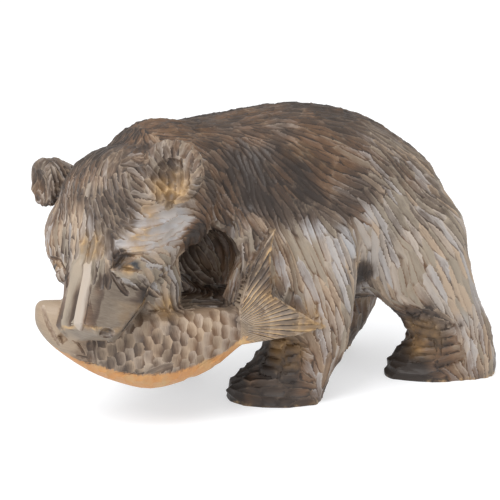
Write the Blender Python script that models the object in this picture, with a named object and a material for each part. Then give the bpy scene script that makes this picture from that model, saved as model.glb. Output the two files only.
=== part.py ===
"""A carved wooden bear that walks with a salmon crosswise in its jaws.

The bear, the fish and the feet are one block of wood, so they are one solid.
The bear faces -X, its left side is -Y, and it stands on the plane z = 0.
The free form keeps its pose and proportions as shares of its own length: a place
on it is given on a 300-unit bear, and UNIT turns that into metres.
"""
import math
import random

import bmesh
import bpy
import numpy as np
from mathutils import Matrix, Vector

# Driving dimension: nose to rump, in metres
LENGTH = 0.300
UNIT = LENGTH / 300.0

# Fineness of the faceted solid
VOXEL = 1.5 * UNIT
FACES = 9400

# The head: where its skull sits, and how it is turned, bowed and tilted
SKULL = Vector((-95.0, -20.0, 131.0))
HEAD_TURN = math.radians(30.0)
HEAD_BOW = math.radians(67.0)
HEAD_TILT = math.radians(8.5)
HEAD = (
    Matrix.Rotation(HEAD_TURN, 3, "Z")
    @ Matrix.Rotation(-HEAD_BOW, 3, "Y")
    @ Matrix.Rotation(HEAD_TILT, 3, "Z")
)

# Torso sections: x, middle y, lowest z, highest z, half width
TORSO = [
    (-84, -10, 112, 161, 24),
    (-74, -8, 100, 167, 31),
    (-56, -5, 80, 171, 38),
    (-36, -2, 62, 173, 45),
    (-12, 0, 50, 175, 51),
    (18, 0, 46, 178, 54),
    (48, 0, 47, 177, 55),
    (76, 0, 48, 170, 55),
    (100, 0, 48, 157, 54),
    (115, -2, 49, 146, 49),
    (128, -3, 51, 127, 42),
    (137, -4, 54, 107, 33),
    (142.5, -4, 60, 88, 20),
]

# Leg sections: z, middle x, middle y, half length, half width
NEAR_FORELEG = [
    (-4, -0.5, -32, 30, 19),
    (6, -1, -32, 32, 21),
    (14, 2, -35, 31, 21),
    (22, 7, -39, 28, 20),
    (36, 14, -43, 27, 20),
    (52, 14, -45, 28, 20),
    (72, 14, -42, 32, 21),
    (98, 12, -36, 37, 23),
    (124, 4, -28, 36, 22),
    (146, 2, -18, 26, 16),
]
FAR_FORELEG = [
    (-4, -41, 47, 27, 17),
    (6, -41, 47, 28, 18),
    (14, -40, 47, 28, 18),
    (24, -38, 47, 27, 19),
    (44, -33, 46, 26, 20),
    (70, -27, 42, 30, 21),
    (96, -20, 36, 35, 23),
    (122, -14, 28, 35, 22),
    (144, -8, 18, 26, 16),
]
NEAR_HINDLEG = [
    (-4, 118, -45, 37, 18),
    (6, 118.5, -45, 38, 20),
    (14, 120, -46, 35, 21),
    (22, 122, -47, 30, 21),
    (30, 122.5, -47, 28.5, 21),
    (38, 118.5, -46, 29.5, 22),
    (52, 107.5, -44, 33, 23),
    (64, 100.5, -41, 36.5, 25),
    (82, 95, -37, 39, 27),
    (104, 93, -31, 41, 27),
    (128, 86, -22, 34, 22),
]
FAR_HINDLEG = [
    (-4, 69, 40, 35, 18),
    (5, 70, 40, 37, 20),
    (14, 81, 40, 35, 20),
    (24, 88, 40, 34, 20),
    (36, 93, 39, 34, 21),
    (50, 98, 38, 38, 23),
    (68, 100, 36, 43, 26),
    (94, 101, 31, 45, 28),
    (124, 95, 22, 37, 23),
]
# The way each foot points, in degrees from -X towards -Y
NEAR_FORE_HEADING = -33.0
FAR_FORE_HEADING = -6.0
NEAR_HIND_HEADING = -24.0
FAR_HIND_HEADING = 8.0

# Rounded masses on the body: centre, then half length, half width, half height
BODY_EGGS = [
    ((-66, -10, 128), (40, 42, 46.5)),
    ((-70, -36, 130), (26, 22, 30)),
    ((-68, 16, 126), (24, 20, 28)),
    ((-74, -48, 118), (21, 11, 16)),
    ((-6, -28, 122), (40, 26, 42)),
    ((-26, -48, 94), (19, 15, 30)),
    ((-16, 26, 120), (40, 26, 42)),
    ((86, -26, 112), (40, 27, 40)),
    ((84, 24, 112), (40, 28, 40)),
]
# Rounded masses on the head: centre, then half axes along it, to its left and out of it
HEAD_EGGS = [
    ((5, 3, 0.5), (35, 37, 38.5)),
    ((20, 0, 13), (44, 23, 24)),
    ((24, 18, 3), (28, 20, 26)),
    ((22, -21, 3), (28, 22, 26)),
    ((46, 21, 13), (9, 8, 13)),
    ((46, -21, 13), (9, 8, 13)),
]
# Muzzle sections: distance along it, then half width and height of its bridge edge,
# its shoulder, its widest flew and its lip
MUZZLE = [
    (32, (9, 34), (14, 29), (27, 8), (22, -12)),
    (46, (9, 34), (14.5, 28.5), (29, 6), (23, -8)),
    (62, (8, 31.5), (13, 27), (26.5, 8), (20, -4)),
    (77, (5.5, 29), (10.5, 25.5), (20, 14), (13.5, 2)),
]
# The nose's slanted front: distance along, half width, height
NOSE_FRONT = [(78, 7, 29), (82, 10, 24), (85, 11.5, 15), (83, 11, 6)]
# How far the muzzle leans to the bear's right, per unit along it past the brow
MUZZLE_LEAN = 0.05
# Where the muzzle's smooth planes start: the bridge, and the flews under the cheek's tufts
BRIDGE_FROM = 30.0
FLEW_FROM = 53.5
# Lower jaw sections: distance along, half width, half thickness, height
JAW = [(26, 30, 19, -11), (46, 30, 19, -15), (60, 27, 19, -22), (70, 20, 14, -22), (84, 12, 8, -19)]
# An ear's place on the head, on its left (1) and right (-1), and the way it faces
EAR_PLACES = {1: (-9, 39.5, 11), -1: (-8, 43, 11)}
EAR_FACES = (0.25, 0.45, 0.85)
# An ear's profile: height and radius
EAR_PROFILE = [(-14, 12), (-7, 16), (0, 18), (5, 18), (8, 14.5), (8.5, 7)]
# The ear's cup: how far it sits towards the nose and out of the ear, and its half axes
EAR_CUP = (5.0, 9.5, (11.0, 10.0, 8.0))
# The hollow between jaw, chest and fish: its middle, the way it runs in, and its half axes
HOLLOW = ((-52, -42, 92), (0.45, 0.89, 0.0), (28, 19, 20))

# Salmon sections: middle x, y, z, half height, half thickness
SALMON = [
    (-148.5, -20.5, 70.0, 5.5, 4),
    (-146, -22, 69.0, 9, 7),
    (-139, -27, 64.5, 14, 10),
    (-125, -34, 58.5, 19.5, 14),
    (-112, -39, 53.5, 21.5, 16),
    (-92, -46, 48.5, 22.5, 17),
    (-70, -52, 50.0, 20, 15),
    (-58, -56, 52.5, 17.5, 12),
    (-50, -58, 55, 14.5, 9.5),
    (-42, -60, 58, 11.5, 7),
    (-34, -61, 61.5, 11.5, 5.5),
]
# Tail fan outline, seen from outside: x and z, on the foreleg's outer face
TAIL_FAN = [
    (-45, 49), (-45, 71), (-36, 96), (-21, 114.5), (-22.5, 95), (-24, 77), (-5, 64), (13, 51), (-8, 49), (-29, 49),
]
TAIL_Y = -67.5
TAIL_THICK = 24.0
# The uncut wood behind the fish: y, lowest z, highest z, front x, back x
WEB = [(-50, 50, 66, -74, -32), (-20, 46, 69, -70, -18), (0, 50, 68, -64, -18)]

# Fur gouges: length, width and depth of each scoop, and their pitch as shares of the first two
GOUGE_LONG = 30.0
GOUGE_WIDE = 10.0
GOUGE_DEEP = 1.7
PITCH_ALONG = 0.5
PITCH_ACROSS = 0.7
# How many places for gouges are tried, and the seed that orders them
TRIES = 6000
SEED = 7

# Fish carving: the pitch and depth of its scales, where they start, and the rays of its tail
SCALE_PITCH = 8.0
SCALE_DEEP = 1.0
SCALES_FROM = 34.0
FAN_ROOT = (-46.0, 62.0)
FAN_UPPER = ((-24.0, 114.0), (-22.0, 78.0))
FAN_LOWER = ((-10.0, 67.0), (13.0, 51.0))
FAN_RAYS = 4
RAY_WIDE = 7.5
RAY_DEEP = 1.5

# The way the fur runs: a place, and its direction there
FLOW = [
    ((-60, -8, 172), (1, 0, 0)),
    ((-10, 0, 176), (1, 0, 0)),
    ((50, 0, 175), (1, 0, -0.1)),
    ((100, 0, 157), (0.9, 0, -0.5)),
    ((135, -2, 125), (0.6, 0, -0.9)),
    ((150, -4, 80), (0.2, 0, -1)),
    ((-25, -46, 140), (0.3, 0, -1)),
    ((5, -52, 140), (0.8, 0, -0.8)),
    ((40, -54, 130), (1, 0, -0.5)),
    ((70, -54, 110), (0.9, 0, -0.7)),
    ((100, -52, 120), (0.8, 0, -0.9)),
    ((125, -48, 105), (0.6, 0, -1)),
    ((-20, -48, 95), (0.1, 0, -1)),
    ((10, -58, 90), (0.2, 0, -1)),
    ((45, -54, 80), (0.5, 0, -0.9)),
    ((75, -54, 70), (0.2, 0, -1)),
    ((10, -62, 55), (0.15, 0, -1)),
    ((115, -60, 60), (0.4, 0, -1)),
    ((10, -60, 25), (0, -0.1, -1)),
    ((120, -64, 25), (0.2, 0, -1)),
    ((-20, -20, 20), (-0.6, 0.4, -0.6)),
    ((95, -38, 22), (-0.6, 0.2, -0.6)),
    ((-25, 46, 140), (0.3, 0, -1)),
    ((40, 54, 130), (1, 0, -0.5)),
    ((70, 54, 105), (0.9, 0, -0.8)),
    ((110, 50, 110), (0.7, 0, -1)),
    ((-30, 60, 60), (0.1, 0, -1)),
    ((30, 54, 75), (0.5, 0, -0.9)),
    ((95, 58, 60), (0.2, 0, -1)),
    ((-40, 62, 20), (0, 0.1, -1)),
    ((80, 58, 20), (0, 0.1, -1)),
    ((40, 0, 46), (1, 0, 0)),
    ((-50, -10, 80), (0.5, 0, -1)),
    ((-95, -8, 163), (-0.1, -0.15, -1)),
    ((-108, -22, 158), (-0.5, -0.3, -1)),
    ((-122, -30, 138), (-0.3, -0.25, -1)),
    ((-132, -40, 120), (-0.2, -0.2, -1)),
    ((-115, -58, 128), (0.2, -0.3, -1)),
    ((-100, -66, 118), (0.9, -0.3, -0.5)),
    ((-80, -60, 118), (1, 0, -0.3)),
    ((-62, -54, 130), (0.7, 0, -0.7)),
    ((-100, -62, 100), (0.8, -0.1, -0.7)),
    ((-128, 0, 125), (0.3, 0.3, -1)),
    ((-115, 14, 115), (0.7, 0.3, -0.5)),
    ((-90, 30, 120), (1, 0.1, -0.3)),
]


def place(x, y, z):
    """A place on the 300-unit bear, in metres."""
    return Vector((x, y, z)) * UNIT


def head_place(along, left, out):
    """A place on the head: along it to the nose, to its left, and out of its forehead."""
    return (SKULL + HEAD @ Vector((-along, -left, out))) * UNIT


def head_way(along, left, out):
    """A direction on the head."""
    return HEAD @ Vector((-along, -left, out))


def new_object(name, bm):
    """A mesh object made from bm."""
    mesh = bpy.data.meshes.new(name)
    bm.to_mesh(mesh)
    bm.free()
    obj = bpy.data.objects.new(name, mesh)
    bpy.context.scene.collection.objects.link(obj)
    return obj


def egg(centre, axes):
    """A closed ellipsoid with three half axes given as vectors."""
    bm = bmesh.new()
    turn = Matrix.Identity(4)
    for column, axis in enumerate(axes):
        for row in range(3):
            turn[row][column] = axis[row]
        turn[column][3] = centre[column]
    bmesh.ops.create_icosphere(bm, subdivisions=4, radius=1.0, matrix=turn)
    bmesh.ops.recalc_face_normals(bm, faces=bm.faces)
    return new_object("mass", bm)


def loft(rings):
    """A closed skin over rings of points, with flat ends."""
    bm = bmesh.new()
    loops = [[bm.verts.new(point) for point in ring] for ring in rings]
    count = len(loops[0])
    for low, high in zip(loops, loops[1:]):
        for i in range(count):
            j = (i + 1) % count
            bm.faces.new((low[i], low[j], high[j], high[i]))
    bm.faces.new(loops[0][::-1])
    bm.faces.new(loops[-1])
    bmesh.ops.recalc_face_normals(bm, faces=bm.faces)
    return new_object("mass", bm)


def oval(centre, side, up, square=2.0, count=40):
    """A ring of points round an oval; square over 2 fills its corners."""
    ring = []
    for i in range(count):
        angle = 2.0 * math.pi * i / count
        c, s = math.cos(angle), math.sin(angle)
        u = math.copysign(abs(c) ** (2.0 / square), c)
        v = math.copysign(abs(s) ** (2.0 / square), s)
        ring.append(centre + side * u + up * v)
    return ring


def smooth_stations(stations, steps=4):
    """Stations with more between them, on a smooth curve through the given ones."""
    table = np.array(stations, float)
    padded = np.vstack([2 * table[0] - table[1], table, 2 * table[-1] - table[-2]])
    out = []
    for i in range(1, len(padded) - 2):
        p0, p1, p2, p3 = padded[i - 1:i + 3]
        for k in range(steps):
            t = k / steps
            out.append(
                0.5 * (2 * p1 + (p2 - p0) * t + (2 * p0 - 5 * p1 + 4 * p2 - p3) * t ** 2
                       + (3 * p1 - p0 - 3 * p2 + p3) * t ** 3)
            )
    out.append(table[-1])
    return out


def torso():
    """The barrel of the body, from the neck to the rump."""
    rings = []
    for x, y, low, high, half in smooth_stations(TORSO):
        centre = place(x, y, (low + high) / 2)
        rings.append(oval(centre, place(0, half, 0), place(0, 0, (high - low) / 2), 2.25))
    return loft(rings)


def leg(stations, heading):
    """A leg from its sole up into the body, its foot turned by heading."""
    angle = math.radians(heading)
    forward = Vector((-math.cos(angle), -math.sin(angle), 0.0))
    across = Vector((-forward.y, forward.x, 0.0))
    rings = []
    for z, x, y, half_length, half_width in smooth_stations(stations):
        centre = place(x, y, z)
        rings.append(oval(centre, forward * half_length * UNIT, across * half_width * UNIT, 2.5))
    return loft(rings)


def masses():
    """The big rounded masses of the bear, before its edges are cut."""
    parts = [
        torso(),
        leg(NEAR_FORELEG, NEAR_FORE_HEADING),
        leg(FAR_FORELEG, FAR_FORE_HEADING),
        leg(NEAR_HINDLEG, NEAR_HIND_HEADING),
        leg(FAR_HINDLEG, FAR_HIND_HEADING),
    ]
    for centre, (long, wide, high) in BODY_EGGS:
        parts.append(egg(place(*centre), (place(long, 0, 0), place(0, wide, 0), place(0, 0, high))))
    for centre, (along, left, out) in HEAD_EGGS:
        axes = (head_way(along, 0, 0) * UNIT, head_way(0, left, 0) * UNIT, head_way(0, 0, out) * UNIT)
        parts.append(egg(head_place(*centre), axes))
    return parts


def muzzle():
    """The muzzle's planes: bridge, sides and flews, and the nose's slanted front."""
    rings = []
    brow = MUZZLE[0][0]
    for along, *corners in MUZZLE:
        lean = MUZZLE_LEAN * (brow - along)
        left = [head_place(along, lean + wide, out) for wide, out in corners]
        right = [head_place(along, lean - wide, out) for wide, out in reversed(corners)]
        rings.append(left + right)
    lean = MUZZLE_LEAN * (brow - NOSE_FRONT[1][0])
    front = [head_place(a, lean + wide, out) for a, wide, out in NOSE_FRONT]
    front += [head_place(a, lean - wide, out) for a, wide, out in reversed(NOSE_FRONT)]
    rings.append(front)
    return loft(rings)


def jaw():
    """The lower jaw, behind the fish."""
    rings = []
    for along, half, thick, out in JAW:
        rings.append(oval(head_place(along, 0, out), head_way(0, half, 0) * UNIT, head_way(0, 0, thick) * UNIT, 2.4))
    return loft(rings)


def ear(side):
    """A cupped ear on the left (1) or the right (-1), its rim thickest at the back."""
    along, left, out = EAR_FACES
    axis = head_way(along, left * side, out).normalized()
    back = head_way(-1, 0, 0)
    up = (back - axis * back.dot(axis)).normalized()
    across = axis.cross(up)
    along, left, out = EAR_PLACES[side]
    centre = head_place(along, left * side, out)
    rings = []
    for rise, radius in EAR_PROFILE:
        middle = centre + axis * rise * UNIT
        rings.append(oval(middle, across * radius * UNIT, up * radius * UNIT, 2.2, 28))
    lobe = loft(rings)
    forth, rise, (tall, wide, deep) = EAR_CUP
    cup = egg(centre + (axis * rise - up * forth) * UNIT, (up * tall * UNIT, across * wide * UNIT, axis * deep * UNIT))
    return cut_out(lobe, cup)


def salmon():
    """The fish's body, a curved loft with a deep, rounded section."""
    rings = []
    stations = smooth_stations(SALMON)
    for i, (x, y, z, high, thick) in enumerate(stations):
        before = stations[max(i - 1, 0)]
        after = stations[min(i + 1, len(stations) - 1)]
        run = Vector((after[0] - before[0], after[1] - before[1], 0.0)).normalized()
        side = Vector((run.y, -run.x, 0.0))
        rings.append(oval(place(x, y, z), side * thick * UNIT, place(0, 0, high), 2.2, 32))
    return loft(rings)


def tail_fan():
    """The fish's tail, a flat fan that lies on the foreleg."""
    outer = [place(x, TAIL_Y, z) for x, z in TAIL_FAN]
    inner = [place(x, TAIL_Y + TAIL_THICK, z) for x, z in TAIL_FAN]
    return loft([outer, inner])


def web():
    """The uncut wood behind the fish, which ties its back to the chest."""
    rings = []
    for y, low, high, front, back in WEB:
        middle = place((front + back) / 2, y, (low + high) / 2)
        rings.append(oval(middle, place((back - front) / 2, 0, 0), place(0, 0, (high - low) / 2), 2.6, 24))
    return loft(rings)


def hollow():
    """The tool that cuts the hollow between jaw, chest and fish."""
    middle, run, (long, wide, high) = HOLLOW
    way = Vector(run).normalized()
    side = way.cross(Vector((0.0, 0.0, 1.0)))
    return egg(place(*middle), (way * long * UNIT, side * wide * UNIT, place(0, 0, high)))


def joined(parts, name):
    """All parts as one object."""
    target = bmesh.new()
    for part in parts:
        target.from_mesh(part.data)
        bpy.data.objects.remove(part)
    return new_object(name, target)


def settled(obj, *modifiers):
    """obj with the modifiers made real: each is (type, settings)."""
    for kind, settings in modifiers:
        modifier = obj.modifiers.new(kind.title(), kind)
        for key, value in settings.items():
            setattr(modifier, key, value)
    depsgraph = bpy.context.evaluated_depsgraph_get()
    mesh = bpy.data.meshes.new_from_object(obj.evaluated_get(depsgraph))
    obj.modifiers.clear()
    obj.data = mesh
    return obj


def cut_out(obj, tool):
    """obj with tool cut out of it."""
    settled(obj, ("BOOLEAN", {"operation": "DIFFERENCE", "solver": "EXACT", "object": tool}))
    bpy.data.objects.remove(tool)
    return obj


def rough_form(voxel):
    """The whole bear and fish as one skin, before the gouges."""
    body = joined(masses(), "masses")
    settled(
        body,
        ("REMESH", {"mode": "VOXEL", "voxel_size": voxel * 1.4}),
        ("SMOOTH", {"factor": 0.5, "iterations": 30}),
    )
    cut_out(body, hollow())
    parts = [body, muzzle(), jaw(), ear(1), ear(-1), salmon(), tail_fan(), web()]
    whole = joined(parts, "carved_bear")
    settled(
        whole,
        ("REMESH", {"mode": "VOXEL", "voxel_size": voxel}),
        ("SMOOTH", {"factor": 0.5, "iterations": 2}),
    )
    return whole


def grid_of(points, cell):
    """The points' indices, by the cube of side cell that each is in."""
    cubes = {}
    for index, key in enumerate(map(tuple, np.floor(points / cell).astype(int))):
        cubes.setdefault(key, []).append(index)
    return cubes


def near(cubes, point, cell):
    """The indices in the cubes round a point."""
    x, y, z = np.floor(point / cell).astype(int)
    found = []
    for i in (x - 1, x, x + 1):
        for j in (y - 1, y, y + 1):
            for k in (z - 1, z, z + 1):
                found += cubes.get((i, j, k), ())
    return found


def surface(mesh):
    """A mesh's points and normals, the points on the 300-unit bear."""
    count = len(mesh.vertices)
    points = np.empty(count * 3)
    mesh.vertices.foreach_get("co", points)
    normals = np.empty(count * 3)
    mesh.vertices.foreach_get("normal", normals)
    return points.reshape(-1, 3) / UNIT, normals.reshape(-1, 3)


def flow_at(points, normals):
    """The way the fur runs at each point, along the surface."""
    places = np.array([place for place, _ in FLOW], float)
    ways = np.array([np.array(way, float) / np.linalg.norm(way) for _, way in FLOW])
    gaps = ((points[:, None, :] - places[None]) ** 2).sum(axis=2) + 20.0
    weights = gaps ** -2.0
    flow = (weights[:, :, None] * ways[None]).sum(axis=1)
    flow -= (flow * normals).sum(axis=1)[:, None] * normals
    return flow / np.maximum(np.linalg.norm(flow, axis=1), 1e-9)[:, None]


def fish_reach(points):
    """How far each point is from the fish's middle line, where 1 is its skin."""
    line = np.array(smooth_stations(SALMON))
    reach = np.full(len(points), 9.0)
    for x, y, z, high, thick in line[4:]:
        d = points - (x, y, z)
        flat = np.hypot(d[:, 0], d[:, 1]) / (thick + 4.0)
        reach = np.minimum(reach, np.hypot(flat, d[:, 2] / (high + 1.5)))
    return reach


def head_parts(points):
    """Each point's distance along the head, to its left and out of its forehead."""
    local = (points - np.array(SKULL)) @ np.array(HEAD)
    return -local[:, 0], -local[:, 1], local[:, 2]


def on_fan(points):
    """Whether each point is on the tail fan's face, by crossings of its outline."""
    inside = np.zeros(len(points), bool)
    for (x0, z0), (x1, z1) in zip(TAIL_FAN, TAIL_FAN[1:] + TAIL_FAN[:1]):
        if z0 == z1:
            continue
        spans = (z0 > points[:, 2]) != (z1 > points[:, 2])
        crossing = x0 + (points[:, 2] - z0) * (x1 - x0) / (z1 - z0)
        inside ^= spans & (points[:, 0] < crossing)
    return inside & (points[:, 1] < TAIL_Y + 8.0)


def fur_here(points):
    """Whether fur gouges are cut at each point: not on the fish, the muzzle or the soles."""
    along, left, out = head_parts(points)
    bridge = (along > BRIDGE_FROM + 0.22 * left ** 2) & (out > 24)
    flews = (along > FLEW_FROM) & (out > -8)
    return (fish_reach(points) > 1.0) & ~bridge & ~flews & ~on_fan(points) & (points[:, 2] > 3.0)


def gouges(points, normals):
    """Places for the fur's gouges, spread over it so that they overlap."""
    order = list(np.flatnonzero(fur_here(points)))
    random.Random(SEED).shuffle(order)
    order = np.array(order[:TRIES])
    flow = flow_at(points[order], normals[order])
    kept = {}
    cuts = []
    cell = GOUGE_LONG * PITCH_ALONG
    for index, way in zip(order, flow):
        point, normal = points[index], normals[index]
        key = tuple(np.floor(point / cell).astype(int))
        side = np.cross(normal, way)
        free = True
        for i in (-1, 0, 1):
            for j in (-1, 0, 1):
                for k in (-1, 0, 1):
                    for other in kept.get((key[0] + i, key[1] + j, key[2] + k), ()):
                        d = other - point
                        u = d.dot(way) / cell
                        v = d.dot(side) / (GOUGE_WIDE * PITCH_ACROSS)
                        if u * u + v * v < 1.0 and abs(d.dot(normal)) < GOUGE_WIDE:
                            free = False
        if free:
            kept.setdefault(key, []).append(point)
            cuts.append((point, normal, way, side, GOUGE_LONG, GOUGE_WIDE, GOUGE_DEEP))
    return cuts


def scale_cuts():
    """Scale scoops in staggered rows along both flanks of the fish."""
    line = np.array(smooth_stations(SALMON, 8))
    steps = np.hypot(*np.diff(line[:, :2], axis=0).T)
    far = np.concatenate([[0.0], np.cumsum(steps)])
    cuts = []
    for row in range(int(far[-1] / SCALE_PITCH)):
        run = (row + 0.5) * SCALE_PITCH
        if run < SCALES_FROM or run > far[-1] - SCALE_PITCH:
            continue
        x, y, z, high, thick = (np.interp(run, far, line[:, k]) for k in range(5))
        ahead = [np.interp(run + 1.0, far, line[:, k]) for k in range(2)]
        way = np.array([ahead[0] - x, ahead[1] - y, 0.0])
        way /= np.linalg.norm(way)
        count = int(high * 2.0 / SCALE_PITCH)
        for flank in (-1.0, 1.0):
            for k in range(-count, count):
                rise = (k + 0.5 * (row % 2)) * SCALE_PITCH * 0.8 / high
                if abs(rise) > 0.85:
                    continue
                out = np.array([-way[1], way[0], 0.0]) * flank
                point = np.array([x, y, z + high * rise]) + out * thick * math.sqrt(1.0 - rise * rise)
                normal = out * math.sqrt(1.0 - rise * rise) + np.array([0.0, 0.0, rise])
                normal /= np.linalg.norm(normal)
                side = np.cross(normal, way)
                cuts.append((point, normal, way, side, SCALE_PITCH * 1.5, SCALE_PITCH * 1.1, SCALE_DEEP))
    return cuts


def fan_cuts():
    """Ray flutes that spread from the root of the tail over its fan."""
    cuts = []
    root = np.array(FAN_ROOT)
    for lobe in (FAN_UPPER, FAN_LOWER):
        ends = np.array(lobe, float)
        for k in range(FAN_RAYS):
            share = (k + 0.5) / FAN_RAYS
            tip = ends[0] * (1.0 - share) + ends[1] * share
            reach = np.linalg.norm(tip - root)
            flat = (tip - root) / reach
            middle = root + flat * reach * 0.56
            way = np.array([flat[0], 0.0, flat[1]])
            normal = np.array([0.0, -1.0, 0.0])
            point = np.array([middle[0], TAIL_Y, middle[1]])
            cuts.append((point, normal, way, np.cross(normal, way), reach * 1.05, RAY_WIDE, RAY_DEEP))
    return cuts


def carve(mesh, cuts):
    """Sinks a scoop at each cut, steep where it starts and fading where it ends."""
    points, normals = surface(mesh)
    cell = max(cut[4] for cut in cuts) * 0.5
    cubes = grid_of(points, cell)
    sink = np.zeros(len(points))
    for point, normal, way, side, long, wide, deep in cuts:
        found = np.array(near(cubes, point, cell))
        if len(found) == 0:
            continue
        d = points[found] - point
        u = d @ way / (long * 0.5)
        u = np.where(u < 0, u * 1.35, u)
        v = d @ side / (wide * 0.5)
        level = np.where(abs(d @ normal) < wide, u * u + v * v - 1.0, 0.0)
        sink[found] = np.minimum(sink[found], level * deep)
    points = (points + normals * sink[:, None]) * UNIT
    mesh.vertices.foreach_set("co", points.ravel())
    mesh.update()


def stood(obj, low):
    """Cuts the feet flat at height low, closes the cut and centres the bear over its base."""
    bm = bmesh.new()
    bm.from_mesh(obj.data)
    geometry = bm.verts[:] + bm.edges[:] + bm.faces[:]
    cut = bmesh.ops.bisect_plane(
        bm, geom=geometry, dist=1e-7, plane_co=(0, 0, low), plane_no=(0, 0, -1), clear_outer=True
    )["geom_cut"]
    bmesh.ops.edgeloop_fill(bm, edges=[item for item in cut if isinstance(item, bmesh.types.BMEdge)])
    bmesh.ops.triangulate(bm, faces=bm.faces)
    bmesh.ops.recalc_face_normals(bm, faces=bm.faces)
    xs = [vert.co.x for vert in bm.verts]
    ys = [vert.co.y for vert in bm.verts]
    shift = Vector((-(min(xs) + max(xs)) / 2, -(min(ys) + max(ys)) / 2, -low))
    bmesh.ops.translate(bm, verts=bm.verts, vec=shift)
    bm.to_mesh(obj.data)
    bm.free()


def stained_wood():
    """Dark brown stained wood, as the fur is."""
    material = bpy.data.materials.new("stained_wood")
    material.use_nodes = True
    shader = material.node_tree.nodes["Principled BSDF"]
    shader.inputs["Base Color"].default_value = (0.115, 0.078, 0.052, 1.0)
    shader.inputs["Roughness"].default_value = 0.55
    shader.inputs["Metallic"].default_value = 0.0
    return material


def main():
    """Builds the carved bear."""
    for obj in list(bpy.data.objects):
        bpy.data.objects.remove(obj)
    bear = rough_form(VOXEL)
    points, normals = surface(bear.data)
    carve(bear.data, gouges(points, normals))
    carve(bear.data, scale_cuts())
    carve(bear.data, fan_cuts())
    settled(bear, ("DECIMATE", {"ratio": FACES / (2.0 * len(bear.data.polygons)), "use_collapse_triangulate": True}))
    stood(bear, 0.0)
    bear.data.materials.append(stained_wood())


main()
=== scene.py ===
"""A carved wooden bear that walks with a salmon crosswise in its jaws.

Bear, fish and feet are one block of stained wood. The bear faces -X, its left side is -Y,
and it stands on z = 0. Its tables give places on a 300-unit bear, and a unit follows from
the length of the part's frame. The big masses are primitives and extruded lofts, joined by
a voxel remesh. The fur, the scales and the face are then cut gouge by gouge, as a carver does.
"""
import math

import bpy
import numpy as np
from mathutils import Matrix, Vector
from mathutils.bvhtree import BVHTree
from mathutils.kdtree import KDTree


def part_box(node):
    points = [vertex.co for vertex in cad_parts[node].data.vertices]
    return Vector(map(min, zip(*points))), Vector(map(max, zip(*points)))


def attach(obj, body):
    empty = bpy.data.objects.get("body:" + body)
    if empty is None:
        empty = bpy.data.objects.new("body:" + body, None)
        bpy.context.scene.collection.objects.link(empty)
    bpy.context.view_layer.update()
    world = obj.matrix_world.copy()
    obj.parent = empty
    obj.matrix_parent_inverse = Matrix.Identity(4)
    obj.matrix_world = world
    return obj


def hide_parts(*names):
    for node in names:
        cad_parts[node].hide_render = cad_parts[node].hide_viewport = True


bl_info = {
    "name": "Carved Wooden Bear",
    "version": (1, 0, 0),
    "blender": (4, 5, 0),
    "location": "View3D > Sidebar > Carved Bear",
    "description": "Carves a stained wooden bear with a salmon in its jaws, over the part's frame",
    "category": "Object",
}

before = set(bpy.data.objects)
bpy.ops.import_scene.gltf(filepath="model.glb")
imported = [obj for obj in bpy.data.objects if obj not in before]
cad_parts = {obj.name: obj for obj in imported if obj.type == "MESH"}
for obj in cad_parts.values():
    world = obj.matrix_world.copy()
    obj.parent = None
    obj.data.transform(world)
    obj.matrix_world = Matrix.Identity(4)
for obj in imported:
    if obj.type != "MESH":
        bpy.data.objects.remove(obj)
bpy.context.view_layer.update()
CAD_LOW, CAD_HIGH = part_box("carved_bear")
CAD_LENGTH = CAD_HIGH.x - CAD_LOW.x

# The 300-unit bear's box: its length, and the middle of its length and width
SPAN = 304.19
MIDDLE = (1.77, -2.15)
# Where the head's skull sits on the 300-unit bear
SKULL = Vector((-95.0, -20.0, 131.0))

# Torso sections: x, middle y, lowest z, highest z, half width
TORSO = [
    (-84, -10, 112, 161, 24),
    (-74, -8, 100, 167, 31),
    (-56, -5, 80, 171, 38),
    (-36, -2, 62, 173, 45),
    (-12, 0, 50, 175, 51),
    (18, 0, 46, 178, 54),
    (48, 0, 47, 177, 55),
    (76, 0, 48, 170, 55),
    (100, 0, 48, 157, 54),
    (115, -2, 49, 146, 49),
    (128, -3, 51, 127, 42),
    (137, -4, 54, 107, 33),
    (142.5, -4, 60, 88, 20),
]

# Leg sections: z, middle x, middle y, half length, half width
NEAR_FORELEG = [
    (-4, -0.5, -32, 30, 19),
    (6, -1, -32, 32, 21),
    (14, 2, -35, 31, 21),
    (22, 7, -39, 28, 20),
    (36, 14, -43, 27, 20),
    (52, 14, -45, 28, 20),
    (72, 14, -42, 32, 21),
    (98, 12, -36, 37, 23),
    (124, 4, -28, 36, 22),
    (146, 2, -18, 26, 16),
]
FAR_FORELEG = [
    (-4, -41, 47, 27, 17),
    (6, -41, 47, 28, 18),
    (14, -40, 47, 28, 18),
    (24, -38, 47, 27, 19),
    (44, -33, 46, 26, 20),
    (70, -27, 42, 30, 21),
    (96, -20, 36, 35, 23),
    (122, -14, 28, 35, 22),
    (144, -8, 18, 26, 16),
]
NEAR_HINDLEG = [
    (-4, 118, -45, 37, 18),
    (6, 118.5, -45, 38, 20),
    (14, 120, -46, 35, 21),
    (22, 122, -47, 30, 21),
    (30, 122.5, -47, 28.5, 21),
    (38, 118.5, -46, 29.5, 22),
    (52, 107.5, -44, 33, 23),
    (64, 100.5, -41, 36.5, 25),
    (82, 95, -37, 39, 27),
    (104, 93, -31, 41, 27),
    (128, 86, -22, 34, 22),
]
FAR_HINDLEG = [
    (-4, 69, 40, 35, 18),
    (5, 70, 40, 37, 20),
    (14, 81, 40, 35, 20),
    (24, 88, 40, 34, 20),
    (36, 93, 39, 34, 21),
    (50, 98, 38, 38, 23),
    (68, 100, 36, 43, 26),
    (94, 101, 31, 45, 28),
    (124, 95, 22, 37, 23),
]
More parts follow.
